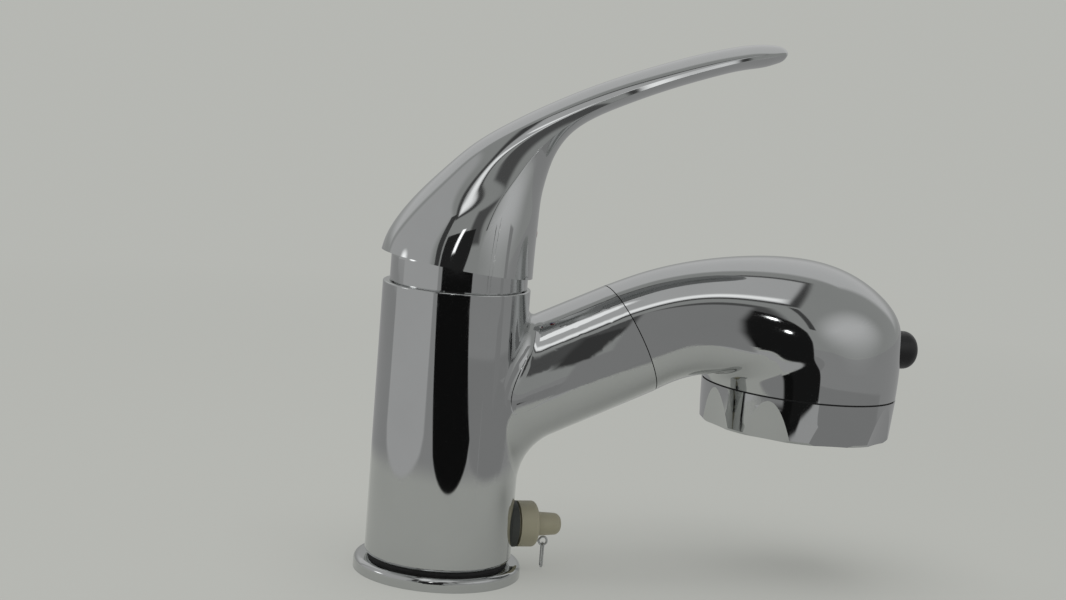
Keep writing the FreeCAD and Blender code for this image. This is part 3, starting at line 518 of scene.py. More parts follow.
def floor_sector(near_bearings: Pair, far_bearings: Pair, near: float, side: float, far: float,
                 height: float, steps: int = 24) -> Corners:
    """Corners of a level sector whose near end is rounded like a U.

    Args:
        near_bearings: First and last bearing of the near end.
        far_bearings: First and last bearing of the far end.
        near: Distance of the near end from the tap's axis at its middle.
        side: Distance at which the rounded near end meets the sector's sides.
        far: Distance of the far end.
        height: Height over the floor.
        steps: Corners along the near end, less one.

    Returns:
        The corners.
    """
    corners = []
    for i in range(steps + 1):
        share = 2.0 * i / steps - 1.0
        reach = near + (side - near) * (1.0 - math.sqrt(1.0 - share * share))
        corners.append(at_bearing(between(near_bearings, i / steps), reach, height))
    for i in range(steps // 2, -1, -1):
        corners.append(at_bearing(between(far_bearings, 2.0 * i / steps), far, height))
    return tuple(corners)


def level_panel(height: float, *plan: Pair) -> Corners:
    """Corners of a level panel, from the x and y of each."""
    return tuple((x, y, height) for x, y in plan)


def front_panel(reach: float, *outline: Pair) -> Corners:
    """Corners of an upright panel square to the studio's y axis, from the x and z of each."""
    return tuple((x, reach, z) for x, z in outline)


def rectangle(sides: Pair, heights: Pair) -> tuple[Pair, ...]:
    """Outline of an upright rectangle, from its left and right and its lower and upper edge."""
    return ((sides[0], heights[0]), (sides[1], heights[0]),
            (sides[1], heights[1]), (sides[0], heights[1]))


def upright_panel(bearings: Pair, heights: Pair, reach: float, steps: int = 6) -> Corners:
    """Corners of an upright flat panel whose ends stand at two bearings and one distance."""
    ends = [Vector(at_bearing(bearing, reach, 0.0)) for bearing in bearings]
    run = [ends[0].lerp(ends[1], i / steps) for i in range(steps + 1)]
    low = [(p.x, p.y, heights[0]) for p in run]
    high = [(p.x, p.y, heights[1]) for p in reversed(run)]
    return tuple(low + high)


def upright_disc(bearing: float, reach: float, height: float, radii: Pair,
                 sides: int = 32) -> Corners:
    """Corners of an upright disc or ellipse that faces the tap's axis.

    Args:
        bearing: Bearing of its centre.
        reach: Distance of its centre from the axis.
        height: Height of its centre.
        radii: Half its width and half its height.
        sides: Number of its corners.

    Returns:
        The corners.
    """
    across = at_bearing(bearing + 90.0, radii[0], 0.0)
    return disc(at_bearing(bearing, reach, height), across, (0.0, 0.0, radii[1]), sides)


def level_disc(centre: Point, radius: float, sides: int = 24) -> Corners:
    """Corners of a level disc."""
    return disc(centre, (radius, 0.0, 0.0), (0.0, radius, 0.0), sides)


def flag_point(along: float, height: float, lift: float = 0.0) -> Point:
    """Point of the flag before the spray head, lifted off it toward the head."""
    run, rise = math.cos(FLAG_TURN), math.sin(FLAG_TURN)
    return (FLAG_FOOT[0] + along * run + lift * rise, FLAG_FOOT[1] - along * rise + lift * run,
            height)


def flag_panel(lift: float, *outline: Pair) -> Corners:
    """Corners of a panel on that flag or off it, from the distance along and height of each."""
    return tuple(flag_point(along, height, lift) for along, height in outline)


def flag_disc(along: float, height: float, sides: int = 24) -> Corners:
    """Corners of a bright spot that lies on that flag."""
    return flag_panel(SPOT_LIFT, *((along + SPOT_R * math.cos(t), height + SPOT_R * math.sin(t))
                                   for t in turns_round(sides)))


def floor_cards() -> tuple[Card, ...]:
    """Cards just over the floor, which the lower body and the branch's underside reflect."""
    return (
        Card("left_floor", floor_sector((-104.0, -31.0), (-104.0, -34.0), 0.142, 0.23, 1.2,
                                        FLOOR_CARD_Z), 0.50, 0.015),
        Card("right_floor", floor_sector((34.0, 100.0), (22.0, 100.0), 0.15, 0.20, 0.45,
                                         FLOOR_CARD_Z), 0.28, 0.02),
        Card("floor_flag", floor_sector((-20.0, 36.0), DARK_BEARINGS, 0.136, 0.235, DARK_REACH,
                                        FLOOR_FLAG_Z), DARK_LEVEL, DARK_SOFT),
        Card("front_sill", upright_panel(DARK_BEARINGS, (0.0, 0.04), DARK_REACH), DARK_LEVEL,
             DARK_SOFT),
    )


def wall_cards() -> tuple[Card, ...]:
    """Walls of the room and the dark openings toward the camera."""
    return (
        Card("left_wall", upright_panel((-125.0, -34.0), (-0.05, 1.1), 0.80), 0.50, 0.14),
        Card("right_wall", upright_disc(65.0, 0.713, 0.45, (0.58, 0.50)), 0.66, 0.48),
        Card("back_wall", front_panel(0.9, *rectangle((-1.3, 1.3), (0.15, 1.9))), 0.62, 0.35),
        Card("left_opening", front_panel(
            -0.56, *rectangle((-0.24, 0.120), (0.04, 0.47))), 0.022, 0.01),
        Card("middle_opening", front_panel(
            -0.565, *rectangle((0.02, 0.220), (0.28, 0.80))), 0.10, 0.05),
    )


def near_cards() -> tuple[Card, ...]:
    """Flags, fills and bright spots close to the branch and the spray head."""
    return (
        Card("branch_flag", (
            (0.040, -0.0470, 0.0775), (0.070, -0.0722, 0.079), (0.070, -0.0722, 0.144),
            (0.040, -0.0470, 0.1300)), 0.055, 0.008),
        Card("neck_card", front_panel(
            -0.030, (0.044, 0.046), (0.0905, 0.050), (0.0890, 0.080), (0.0900, 0.095),
            (0.0960, 0.122), (0.0565, 0.122), (0.0565, 0.080), (0.044, 0.076)), 0.29, 0.003),
        Card("ring_fill", flag_panel(
            -0.001, (-0.016, 0.001), (0.070, 0.001), (0.070, 0.034), (0.014, 0.034),
            (0.006, 0.030), (-0.016, 0.028)), 0.45, 0.003),
        Card("head_flag", flag_panel(
            0.0, (-0.010, 0.031), (0.063, 0.031), (0.066, 0.100), (0.060, 0.130),
            (0.040, 0.153), (0.018, 0.164), (0.000, 0.160), (-0.010, 0.140)), 0.012, 0.004),
        Card("upper_spot", flag_disc(0.0140, 0.1420), 7.0, 0.003),
        Card("lower_spot", flag_disc(0.0218, 0.1095), 7.0, 0.003),
    )


def stand_cards() -> tuple[Card, ...]:
    """Dark columns and lamps on stands, which the handle and the head reflect."""
    return (
        Card("left_column", front_panel(
            -0.5, (-0.30, 0.14), (-0.22, 0.14), (-0.27, 0.86), (-0.40, 0.86)), 0.06, 0.01),
        Card("right_column", front_panel(
            -0.5, (0.28, 0.36), (0.335, 0.36), (0.335, 0.9), (0.28, 0.9)), 0.07, 0.008),
        Card("strip_lamp", front_panel(
            -0.49, (-0.092, 0.265), (-0.048, 0.265), (-0.008, 0.46), (-0.060, 0.46)), 2.2, 0.018),
        Card("side_lamp", upright_disc(-84.0, 0.503, 0.162, (0.09, 0.085)), 2.2, 0.07),
    )


def top_cards() -> tuple[Card, ...]:
    """Panel above the tap, with its dark frame, its brighter front and its bright core."""
    return (
        Card("top_frame", level_panel(
            TOP_Z + TOP_GAP, (-0.36, -0.70), (0.36, -0.47), (0.42, 0.30), (-0.32, 0.29)),
            0.07, 0.04),
        Card("top_panel", level_panel(
            TOP_Z, (-0.29, -0.62), (0.30, -0.42), (0.38, 0.25), (-0.25, 0.25)), 0.55, 0.03),
        Card("top_front", level_panel(
            TOP_Z - TOP_GAP, (-0.29, -0.62), (0.30, -0.42), (0.31, -0.25), (-0.285, -0.43)),
            1.3, 0.07),
        Card("top_core", level_disc((-0.13, -0.15, TOP_Z - TOP_GAP), 0.09), 1.3, 0.03),
    )


@dataclass
class Studio:
    """Pale floor, soft lamp, cards and camera, set out in axes aligned with the camera."""

    floor_half: float = 6.0
    floor_tone: Colour = (0.52, 0.525, 0.497)
    floor_roughness: float = 0.9
    floor_cloud: Pattern = Pattern(3.0)
    cloud_tone: float = 0.985
    floor_glow: float = 0.55
    glow_reach: Pair = (0.12, 0.7)
    wall_tone: float = 0.475
    wall_tint: Colour = (0.985, 1.0, 0.945)
    room_tone: float = 0.36
    room_tint: Colour = (0.985, 1.0, 0.98)
    ring_level: float = 0.33
    lamp_size: float = 1.2
    lamp_watts: float = 12.0
    lamp_place: Point = (-0.1, -0.1, 1.3)
    turn_deg: float = -13.94
    camera_place: Point = (0.0, -0.56605, 0.16418)
    camera_yaw_deg: float = 2.33
    camera_pitch_deg: float = 7.81
    camera_roll_deg: float = 4.81
    camera_clip: Pair = (0.01, 20.0)
    focal_px: float = 1871.65
    frame_px: float = 1066.0
    sensor_mm: float = 36.0

    def turn(self) -> Matrix:
        """Rotation from the studio's axes to the tap's."""
        return Matrix.Rotation(math.radians(self.turn_deg), 3, "Z")

    def build_camera(self) -> None:
        """Places the camera where the photograph was taken from."""
        aim = (Matrix.Rotation(math.radians(self.turn_deg - self.camera_yaw_deg), 4, "Z")
               @ Matrix.Rotation(math.radians(90.0 - self.camera_pitch_deg), 4, "X")
               @ Matrix.Rotation(math.radians(self.camera_roll_deg), 4, "Z"))
        data = bpy.data.cameras.new("camera")
        data.sensor_width = self.sensor_mm
        data.lens = self.focal_px / self.frame_px * self.sensor_mm
        data.clip_start, data.clip_end = self.camera_clip
        camera = bpy.data.objects.new("camera", data)
        bpy.context.scene.collection.objects.link(camera)
        camera.matrix_world = Matrix.Translation(self.turn() @ Vector(self.camera_place)) @ aim
        bpy.context.scene.camera = camera

    def build_floor(self) -> None:
        """Makes the pale matt floor, whose own glow grows with the distance from the tap."""
        deselect_all()
        bpy.ops.mesh.primitive_plane_add(size=2.0 * self.floor_half)
        sweep = bpy.context.object
        sweep.name = "sweep"
        with edit_mode():
            bpy.ops.mesh.subdivide(number_cuts=1)
        bench = NodeBench("sweep_paper")
        shader = bench.surface(Roughness=self.floor_roughness, Specular_IOR_Level=0.0)
        cloud = bench.spread(bench.noise(self.floor_cloud), 0.0, 1.0)
        bench.drive(shader, Base_Color=bench.blend(cloud, self.floor_tone,
                                                   shade(self.floor_tone, self.cloud_tone)))
        glow = bench.add("ShaderNodeEmission", Color=(*self.wall_tint, 1.0),
                         Strength=self.wall_tone)
        distance = bench.add("ShaderNodeVectorMath")
        distance.operation = "LENGTH"
        bench.link(bench.coordinates.outputs["Object"], distance.inputs[0])
        far = bench.spread(distance.outputs["Value"], self.floor_glow, 1.0, *self.glow_reach)
        bench.mix(far, shader.outputs["BSDF"], glow.outputs["Emission"])
        sweep.data.materials.append(bench.material)

    def build_world(self) -> None:
        """Sets the world: a pale backdrop for the camera and a darker room for all other rays."""
        world = bpy.data.worlds.new("studio")
        bpy.context.scene.world = world
        world.use_nodes = True
        tree = world.node_tree
        tree.nodes.clear()
        output = tree.nodes.new("ShaderNodeOutputWorld")
        rays = tree.nodes.new("ShaderNodeLightPath")
        mix = tree.nodes.new("ShaderNodeMixShader")
        tree.links.new(rays.outputs["Is Camera Ray"], mix.inputs["Fac"])
        for socket, tint, tone in ((1, self.room_tint, self.room_tone),
                                   (2, self.wall_tint, self.wall_tone)):
            light = tree.nodes.new("ShaderNodeBackground")
            light.inputs["Color"].default_value = (*tint, 1.0)
            light.inputs["Strength"].default_value = tone
            tree.links.new(light.outputs["Background"], mix.inputs[socket])
        tree.links.new(mix.outputs["Shader"], output.inputs["Surface"])

    def build_lamp(self) -> None:
        """Hangs the soft lamp above the tap."""
        data = bpy.data.lights.new("top_softbox", "AREA")
        data.shape = "RECTANGLE"
        data.size = self.lamp_size
        data.size_y = self.lamp_size
        data.energy = self.lamp_watts
        lamp = bpy.data.objects.new("top_softbox", data)
        bpy.context.scene.collection.objects.link(lamp)
        lamp.location = self.turn() @ Vector(self.lamp_place)
        lamp.visible_glossy = False

    def build_cards(self) -> None:
        """Sets up the floor ring and the cards that the chrome reflects."""
        FloorRing("floor_surround", self.ring_level).build()
        for cards in (floor_cards(), wall_cards(), near_cards(), stand_cards(), top_cards()):
            for card in cards:
                card.build(self.turn())
                LOG.info("studio card %s", card.name)

    def build(self) -> None:
        """Builds the whole studio."""
        self.build_camera()
        self.build_floor()
        self.build_world()
        self.build_lamp()
        self.build_cards()


@dataclass(frozen=True)
class Section:
    """One slice through the lever handle, in millimetres, heights above the bell's rim.

    Base and crown are an x and a height. Ridge and shoulder are a half width and the share of the
    way from base to crown. Roundness bends the side between them.
    """

    base: Pair
    crown: Pair
    ridge: Pair
    shoulder: Pair
    roundness: float

    def row(self) -> list[float]:
        """The slice's numbers in one list, for the spline through all slices."""
        return [*self.base, *self.crown, *self.ridge, *self.shoulder, self.roundness]


def smooth_rows(rows: Sequence[Sequence[float]], knots: Sequence[float],
                steps: int) -> list[list[float]]:
    """Rows of numbers on natural cubic splines through given rows.

    Args:
        rows: Given rows, all of one length.
        knots: Place of each row along the spline.
        steps: New rows for each gap between given rows.

    Returns:
        The new rows, with the given ones among them.
    """
    given = np.array(rows, float)
    place = np.array(knots, float)
    gaps = np.diff(place)
    count = len(place)
    matrix = np.eye(count)
    right = np.zeros_like(given)
    for i in range(1, count - 1):
        matrix[i, i - 1:i + 2] = (gaps[i - 1], 2.0 * (gaps[i - 1] + gaps[i]), gaps[i])
        right[i] = 6.0 * ((given[i + 1] - given[i]) / gaps[i]
                          - (given[i] - given[i - 1]) / gaps[i - 1])
    bend = np.linalg.solve(matrix, right)
    result = []
    for i, gap in enumerate(gaps):
        for step in range(steps):
            t = step / steps
            s = 1.0 - t
            row = (s * given[i] + t * given[i + 1]
                   + gap * gap / 6.0 * ((s ** 3 - s) * bend[i] + (t ** 3 - t) * bend[i + 1]))
            result.append(list(row))
    result.append(list(given[-1]))
    return result


def on_axis(height: float) -> Vector:
    """Point on the tap's axis, in metres, at a height in millimetres."""
    return Vector((0.0, 0.0, height)) * MM


def arc_radius(half: float, rise: float) -> float:
    """Radius of the arc that rises over a chord, from half the chord and the rise."""
    return (half * half + rise * rise) / (2.0 * rise)


class RingSkin:
    """Skin drawn out ring by ring, as an edge loop is extruded and moved by hand."""

    def __init__(self, name: str, first: Sequence[Vector]) -> None:
        """Adds the piece with its first ring, at its points."""
        deselect_all()
        bpy.ops.mesh.primitive_circle_add(vertices=len(first), fill_type="NOTHING")
        self.piece = bpy.context.object
        self.piece.name = name
        self.piece.data.name = name
        self.ring_of: list[int] = [0] * len(first)
        self.slot_of: list[int] = list(range(len(first)))
        for vertex, point in zip(self.piece.data.vertices, first):
            vertex.co = point

    def extrude_to(self, points: Sequence[Vector]) -> None:
        """Extrudes the last ring and moves the new one to its points."""
        mesh = self.piece.data
        known = len(mesh.vertices)
        with edit_mode():
            bpy.ops.mesh.extrude_region_move()
        ring = self.ring_of[-1] + 1
        slots = {}
        for edge in mesh.edges:
            low, high = sorted(edge.vertices)
            if low < known <= high:
                slots[high] = self.slot_of[low]
        for index in range(known, len(mesh.vertices)):
            self.ring_of.append(ring)
            self.slot_of.append(slots[index])
            mesh.vertices[index].co = points[slots[index]]

    def close_ends(self) -> None:
        """Fills the first and the last ring with a face each."""
        for ring in (0, self.ring_of[-1]):
            self.select_ring(ring)
            with edit_mode():
                bpy.ops.mesh.edge_face_add()

    def join_ends(self) -> None:
        """Bridges the first and the last ring."""
        with edit_mode():
            bpy.ops.mesh.select_mode(type="EDGE")
            bpy.ops.mesh.select_all(action="DESELECT")
            bpy.ops.mesh.select_non_manifold()
            bpy.ops.mesh.bridge_edge_loops()

    def select_ring(self, ring: int) -> None:
        """Selects one ring."""
        with edit_mode():
            bpy.ops.mesh.select_mode(type="VERT")
            bpy.ops.mesh.select_all(action="DESELECT")
        for vertex in self.piece.data.vertices:
            vertex.select = self.ring_of[vertex.index] == ring

    def crease(self, rings: Sequence[int], slots: Sequence[int], along: float) -> None:
        """Keeps edges sharp under subdivision.

        Args:
            rings: Rings that stay sharp all round.
            slots: Places on the rings whose edges from ring to ring stay sharp.
            along: How sharp the edges from ring to ring are, from 0 to 1.
        """
        mesh = self.piece.data
        layer = mesh.attributes.new("crease_edge", "FLOAT", "EDGE")
        for edge in mesh.edges:
            a, b = edge.vertices
            same_ring = self.ring_of[a] == self.ring_of[b]
            if same_ring and self.ring_of[a] in rings:
                layer.data[edge.index].value = 1.0
            elif not same_ring and self.slot_of[a] == self.slot_of[b] and self.slot_of[a] in slots:
                layer.data[edge.index].value = along

    def finish(self) -> Piece:
        """Turns the faces outward, applies the subdivision and smooths the shading."""
        with edit_mode():
            bpy.ops.mesh.select_all(action="SELECT")
            bpy.ops.mesh.normals_make_consistent(inside=False)
        apply_modifier(self.piece, "SUBSURF", levels=SKIN_LEVELS, render_levels=SKIN_LEVELS)
        bpy.ops.object.shade_smooth_by_angle(angle=SKIN_SMOOTH)
        return self.piece


def apply_modifier(piece: Piece, kind: str, **values: object) -> None:
    """Adds a modifier to a piece, sets it and applies it.

    Args:
        piece: The piece.
        kind: Blender's modifier type.
        **values: Settings of the modifier.
    """
    deselect_all()
    piece.select_set(True)
    bpy.context.view_layer.objects.active = piece
    modifier = piece.modifiers.new(kind.title(), kind)
    for key, value in values.items():
        setattr(modifier, key, value)
    bpy.ops.object.modifier_apply(modifier=modifier.name)


def turned_cylinder(radius: float, start: Vector, end: Vector, sides: int = 64) -> Piece:
    """Closed cylinder between two points, with its place in its mesh."""
    deselect_all()
    axis = end - start
    bpy.ops.mesh.primitive_cylinder_add(vertices=sides, radius=radius, depth=axis.length,
                                        location=(start + end) / 2.0,
                                        rotation=axis.to_track_quat("Z", "Y").to_euler())
    bpy.ops.object.transform_apply()
    return bpy.context.object


def cut_with(piece: Piece, tool: Piece) -> None:
    """Cuts a tool's shape out of a piece and deletes the tool."""
    apply_modifier(piece, "BOOLEAN", operation="DIFFERENCE", solver="EXACT", object=tool)
    bpy.data.objects.remove(tool, do_unlink=True)


def joined(pieces: Sequence[Piece]) -> Piece:
    """Joins pieces into the first one."""
    deselect_all()
    for piece in pieces:
        piece.select_set(True)
    bpy.context.view_layer.objects.active = pieces[0]
    bpy.ops.object.join()
    return pieces[0]


@dataclass
class LeverHandle:
    """Cast lever handle: a bell over the collar that runs out into the lever."""

    rim_z: float = 93.0
    cavity_r: float = 21.5
    cavity_z: float = 101.0
    ceiling_r: float = 14.0
    ceiling_z: float = 112.0
    boss_r: float = 7.2
    boss_z: float = 101.5
    socket: Pair = (8.2, 6.2)
    socket_z: float = 102.1
    plug_z: float = 106.5
    plug_r: float = 2.4
    plug_floor_x: float = 20.02
    screw_r: float = 2.16
    screw_from_x: float = 16.0
    boss_bore_x: float = 10.0
    beyond_x: float = 30.0
    socket_height: float = 18.0
    ridge_crease: float = 0.9
    top_points: int = 17
    side_points: int = 6
    front_points: int = 23
    steps: int = 4
    sections: tuple[Section, ...] = (
        Section((22.35, 0.00), (-24.20, 6.00), (23.25, 0.50), (20.13, 0.75), 1.0),
        Section((22.45, 8.60), (-22.70, 11.00), (22.30, 0.50), (19.30, 0.74), 1.0),
        Section((22.75, 17.00), (-18.60, 18.00), (20.40, 0.485), (17.60, 0.74), 1.0),
        Section((23.15, 24.40), (-13.00, 25.00), (17.60, 0.46), (15.20, 0.72), 0.9),
        Section((24.30, 30.60), (-6.00, 32.30), (14.90, 0.415), (13.10, 0.70), 0.7),
        Section((26.10, 36.80), (1.70, 39.40), (12.90, 0.385), (11.60, 0.68), 0.45),
        Section((29.40, 42.80), (10.70, 45.50), (11.80, 0.37), (10.80, 0.65), 0.25),
        Section((35.50, 48.30), (23.60, 52.70), (11.20, 0.39), (10.30, 0.62), 0.12),
        Section((46.60, 54.00), (41.30, 61.00), (11.00, 0.43), (10.10, 0.61), 0.0),
        Section((60.50, 59.80), (57.00, 67.00), (10.90, 0.46), (10.00, 0.62), 0.0),
        Section((75.20, 65.00), (72.60, 72.20), (10.90, 0.46), (10.10, 0.61), 0.0),
        Section((86.20, 68.15), (84.20, 75.25), (10.50, 0.47), (9.80, 0.61), 0.0),
        Section((92.60, 69.50), (91.20, 76.40), (9.20, 0.49), (8.60, 0.62), 0.0),
        Section((96.60, 70.90), (95.90, 76.50), (6.90, 0.50), (6.50, 0.63), 0.0),
        Section((98.70, 72.20), (98.40, 75.95), (4.20, 0.50), (4.00, 0.63), 0.0),
        Section((99.50, 73.30), (99.45, 75.30), (1.60, 0.50), (1.50, 0.63), 0.0),
    )

    def outline(self, row: Sequence[float]) -> list[Vector]:
        """Points of one slice: over the crown, down one side, across the front, up the other.

        Args:
            row: Numbers of the slice, as Section.row() gives them.

        Returns:
            The points, in metres.
        """
        bx, bz, cx, cz, ridge_w, ridge_f, shoulder_w, shoulder_f, roundness = row
        base = Vector((bx, 0.0, self.rim_z + bz))
        along = Vector((cx, 0.0, self.rim_z + cz)) - base
        length = along.length
        along.normalize()
        ridge = (ridge_w, ridge_f * length)
        shoulder = (shoulder_w, shoulder_f * length)
        side = self.side_curve(shoulder, ridge, length, roundness)
        flat = [*self.crown_points(shoulder, length), *((-y, rise) for y, rise in side),
                *self.front_curve(ridge), *reversed(side)]
        return [(base + along * rise + Vector((0.0, y, 0.0))) * MM for y, rise in flat]

    def crown_points(self, shoulder: Pair, length: float) -> list[Pair]:
        """Arc from one shoulder over the crown to the other."""
        drop = length - shoulder[1]
        radius = arc_radius(shoulder[0], drop)
        half = math.atan2(shoulder[0], radius - drop)
        angles = np.linspace(half, -half, self.top_points)
        return [(radius * math.sin(a), length - radius + radius * math.cos(a)) for a in angles]

    def side_curve(self, shoulder: Pair, ridge: Pair, length: float,
                   roundness: float) -> list[Pair]:
        """Points of a side between shoulder and ridge, without the shoulder, with the ridge."""
        top_r = arc_radius(shoulder[0], length - shoulder[1])
        slope = math.atan2(shoulder[1] - (length - top_r), shoulder[0])
        tangent = (math.sin(slope), -math.cos(slope))
        chord = (ridge[0] - shoulder[0], ridge[1] - shoulder[1])
        size = math.hypot(*chord)
        turn = math.atan2(tangent[0] * chord[1] - tangent[1] * chord[0],
                          tangent[0] * chord[0] + tangent[1] * chord[1])
        bulge = roundness * size * math.tan(turn / 2.0)
        control = ((shoulder[0] + ridge[0]) / 2.0 + bulge * chord[1] / size,
                   (shoulder[1] + ridge[1]) / 2.0 - bulge * chord[0] / size)
        points = []
        for i in range(1, self.side_points + 1):
            t = i / self.side_points
            s = 1.0 - t
            points.append(tuple(s * s * a + 2.0 * s * t * c + t * t * b
                                for a, c, b in zip(shoulder, control, ridge)))
        return points

    def front_curve(self, ridge: Pair) -> list[Pair]:
        """Points of the arc from ridge to ridge round the front or underside, without its ends."""
        radius = arc_radius(*ridge)
        half = math.atan2(ridge[0], radius - ridge[1])
        angles = np.linspace(-half, half, self.front_points + 2)[1:-1]
        return [(radius * math.sin(a), radius - radius * math.cos(a)) for a in angles]

    def cavity_ring(self, rim: Sequence[Vector], radius: float,
                    height: float | None) -> list[Vector]:
        """Ring of the bell's inside, with each point facing its point on the rim.

        Args:
            rim: Points of the rim's outline.
            radius: Radius of the ring in millimetres.
            height: Its height in millimetres, or None for a ring in the plane of the rim.

        Returns:
            The points, in metres.
        """
        front, back = self.sections[0].base, self.sections[0].crown
        fall = (back[1] - front[1]) / (back[0] - front[0])
        ring = []
        for point in rim:
            turn = math.atan2(point.y, point.x)
            x = radius * math.cos(turn)
            z = self.rim_z + front[1] + fall * (x - front[0]) if height is None else height
            ring.append(Vector((x, radius * math.sin(turn), z)) * MM)
        return ring

    def build(self) -> Piece:
        """Models the handle, from the bell's ceiling down to the rim and out to the tip."""
        rows = [section.row() for section in self.sections]
        middles = [((r[0] + r[2]) / 2.0, (r[1] + r[3]) / 2.0) for r in rows]
        knots = list(accumulate(map(math.dist, middles, middles[1:]), initial=0.0))
        outlines = [self.outline(row) for row in smooth_rows(rows, knots, self.steps)]
        rim = outlines[0]
        skin = RingSkin("lever_handle_cast", self.cavity_ring(rim, self.ceiling_r, self.ceiling_z))
        skin.extrude_to(self.cavity_ring(rim, self.cavity_r, self.cavity_z))
        skin.extrude_to(self.cavity_ring(rim, self.cavity_r, None))
        for points in outlines:
            skin.extrude_to(points)
        skin.close_ends()
        ridges = (self.top_points + self.side_points - 1,
                  self.top_points + self.side_points + self.front_points)
        skin.crease((0, 1, 2, 3), ridges, self.ridge_crease)
        handle = skin.finish()
        boss = turned_cylinder(self.boss_r * MM, on_axis(self.boss_z), on_axis(self.ceiling_z))
        bpy.ops.mesh.primitive_cube_add(size=1.0, location=on_axis(self.socket_z))
        bpy.context.object.scale = Vector((*self.socket, self.socket_height)) * MM
        bpy.ops.object.transform_apply()
        cut_with(boss, bpy.context.object)
        axis = on_axis(self.plug_z)
        for piece, radius, start, end in (
            (handle, self.plug_r, self.plug_floor_x, self.beyond_x),
            (handle, self.screw_r, self.screw_from_x, self.beyond_x),
            (boss, self.screw_r, 0.0, self.boss_bore_x),
        ):
            cut_with(piece, turned_cylinder(radius * MM, axis + OUTWARD * start,
                                            axis + OUTWARD * end, BORE_SIDES))
        handle = joined((handle, boss))
        bpy.ops.object.shade_smooth_by_angle(angle=CUT_SMOOTH)
        return handle


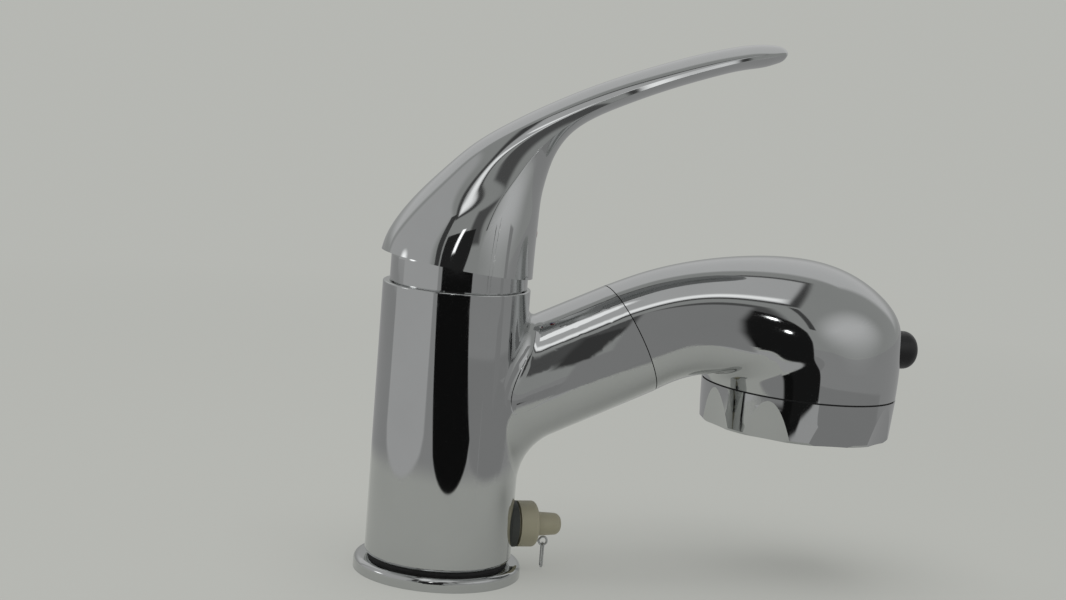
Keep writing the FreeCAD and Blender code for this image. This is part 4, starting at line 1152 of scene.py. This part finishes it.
@dataclass
class SprayHeadShell:
    """Smooth shell of the pull-out spray head, from the spout's mouth to the spray seam.

    Mouth and centre are an x and a height. Land and pocket, for the button, are an x and a radius.
    Each slice of neck and dome has its inner point, its outer point and its half width, in the
    neck from the mouth in millimetres and in the dome from the centre in radii and heights.
    """

    mouth: Pair = (56.0, 74.85)
    mouth_r: float = 18.25
    spout_deg: float = 28.0
    gap: float = 0.3
    centre: Pair = (115.5, 61.7)
    radius: float = 31.3
    height: float = 41.6
    tilt_deg: float = 1.65
    wall: float = 2.2
    points: int = 48
    land: Pair = (146.5, 7.6)
    pocket: Pair = (142.27, 6.5)
    cup_wall: float = 1.4
    cup_back: float = 1.2
    spindle_hole_r: float = 2.6
    run_out: float = 3.0
    beyond: float = 12.0
    button_z: float = 74.6
    outside_steps: int = 5
    inside_steps: int = 2
    neck: tuple[tuple[float, ...], ...] = (
        (13.6, -13.5, 5.0, 21.4, 19.0),
        (18.3, -11.6, 20.8, 25.5, 20.6),
        (21.8, -10.5, 38.6, 27.9, 23.6),
    )
    dome: tuple[tuple[float, ...], ...] = (
        (-1.128, 0.080, -0.080, 0.990, 0.862),
        (-1.066, 0.092, 0.364, 0.921, 0.936),
        (-1.034, 0.088, 0.755, 0.755, 0.985),
        (-1.022, 0.076, 0.960, 0.570, 0.998),
        (-1.012, 0.060, 1.006, 0.350, 1.003),
        (-1.005, 0.042, 1.010, 0.170, 1.004),
    )

    def rows(self) -> list[list[float]]:
        """Inner point, outer point and half width of each slice, in millimetres."""
        rise = math.radians(self.spout_deg)
        mx = self.mouth[0] + self.gap * math.cos(rise)
        mz = self.mouth[1] + self.gap * math.sin(rise)
        up = (-math.sin(rise) * self.mouth_r, math.cos(rise) * self.mouth_r)
        result = [[mx - up[0], mz - up[1], mx + up[0], mz + up[1], self.mouth_r]]
        for place, across, up_by, slices in ((self.mouth, 1.0, 1.0, self.neck),
                                             (self.centre, self.radius, self.height, self.dome)):
            result += [[place[0] + ix * across, place[1] + iz * up_by, place[0] + ox * across,
                        place[1] + oz * up_by, half * across] for ix, iz, ox, oz, half in slices]
        tilt = math.radians(self.tilt_deg)
        edge = (math.cos(tilt) * self.radius, -math.sin(tilt) * self.radius)
        result.append([self.centre[0] - edge[0], self.centre[1] - edge[1],
                       self.centre[0] + edge[0], self.centre[1] + edge[1], self.radius])
        return result

    def ring(self, row: Sequence[float], inset: float) -> list[Vector]:
        """Ellipse of one slice, drawn in by an inset, in metres."""
        inner = Vector((row[0], 0.0, row[1]))
        outer = Vector((row[2], 0.0, row[3]))
        chord = outer - inner
        reach = chord.length / 2.0 - inset
        chord.normalize()
        middle = (inner + outer) / 2.0
        side = Vector((0.0, row[4] - inset, 0.0))
        return [(middle + chord * (reach * math.cos(t)) + side * math.sin(t)) * MM
                for t in turns_round(self.points)]

    def build(self) -> Piece:
        """Models the shell, its wall and the button's pocket."""
        rows = self.rows()
        gaps = (math.dist(near[2:4], far[2:4]) + math.dist(near[0:2], far[0:2])
                for near, far in zip(rows, rows[1:]))
        knots = list(accumulate(gaps, initial=0.0))
        outside = smooth_rows(rows, knots, self.outside_steps)
        inside = smooth_rows(rows, knots, self.inside_steps)[::-1]
        skin = RingSkin("spray_head_skin", self.ring(outside[0], 0.0))
        for row in outside[1:]:
            skin.extrude_to(self.ring(row, 0.0))
        for row in inside:
            skin.extrude_to(self.ring(row, self.wall))
        skin.join_ends()
        last = len(outside) - 1
        skin.crease((0, last, last + 1, last + len(inside)), (), 0.0)
        shell = skin.finish()
        axis = on_axis(self.button_z)
        beyond = axis + OUTWARD * (self.land[0] + self.beyond)
        for start, radius in (self.land, self.pocket):
            cut_with(shell, turned_cylinder(radius * MM, axis + OUTWARD * start, beyond))
        shell = joined((shell, self.build_cup(axis)))
        bpy.ops.object.shade_smooth_by_angle(angle=CUT_SMOOTH)
        return shell

    def build_cup(self, axis: Vector) -> Piece:
        """Models the cup that carries the button, open at its front and bored for the spindle."""
        floor = axis + OUTWARD * self.pocket[0]
        front = axis + OUTWARD * (self.land[0] - self.cup_back)
        cup = turned_cylinder((self.pocket[1] + self.cup_wall) * MM,
                              floor - OUTWARD * self.cup_wall, front)
        cut_with(cup, turned_cylinder(self.pocket[1] * MM, floor, front + OUTWARD))
        cut_with(cup, turned_cylinder(self.spindle_hole_r * MM, floor - OUTWARD * self.run_out,
                                      front + OUTWARD, BORE_SIDES))
        return cup


def main() -> None:
    """Builds the studio and dresses the tap."""
    logging.basicConfig(level=logging.INFO)
    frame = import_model()
    bpy.context.scene.view_settings.view_transform = "Standard"
    Studio().build()
    finishes = Finishes()
    finishes.build()
    finishes.dress(frame)
    for maker, node, body, slot in (
        (LeverHandle(), "lever_handle", "lever", "chromed_lever"),
        (SprayHeadShell(), "head_shell", "spray_head", "chromed_head"),
    ):
        piece = maker.build()
        piece.data.materials.clear()
        piece.data.materials.append(finishes.built[slot])
        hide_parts(node)
        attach(piece, body)
        LOG.info("piece %s stands for %s", piece.name, node)


if __name__ == "__main__":
    main()
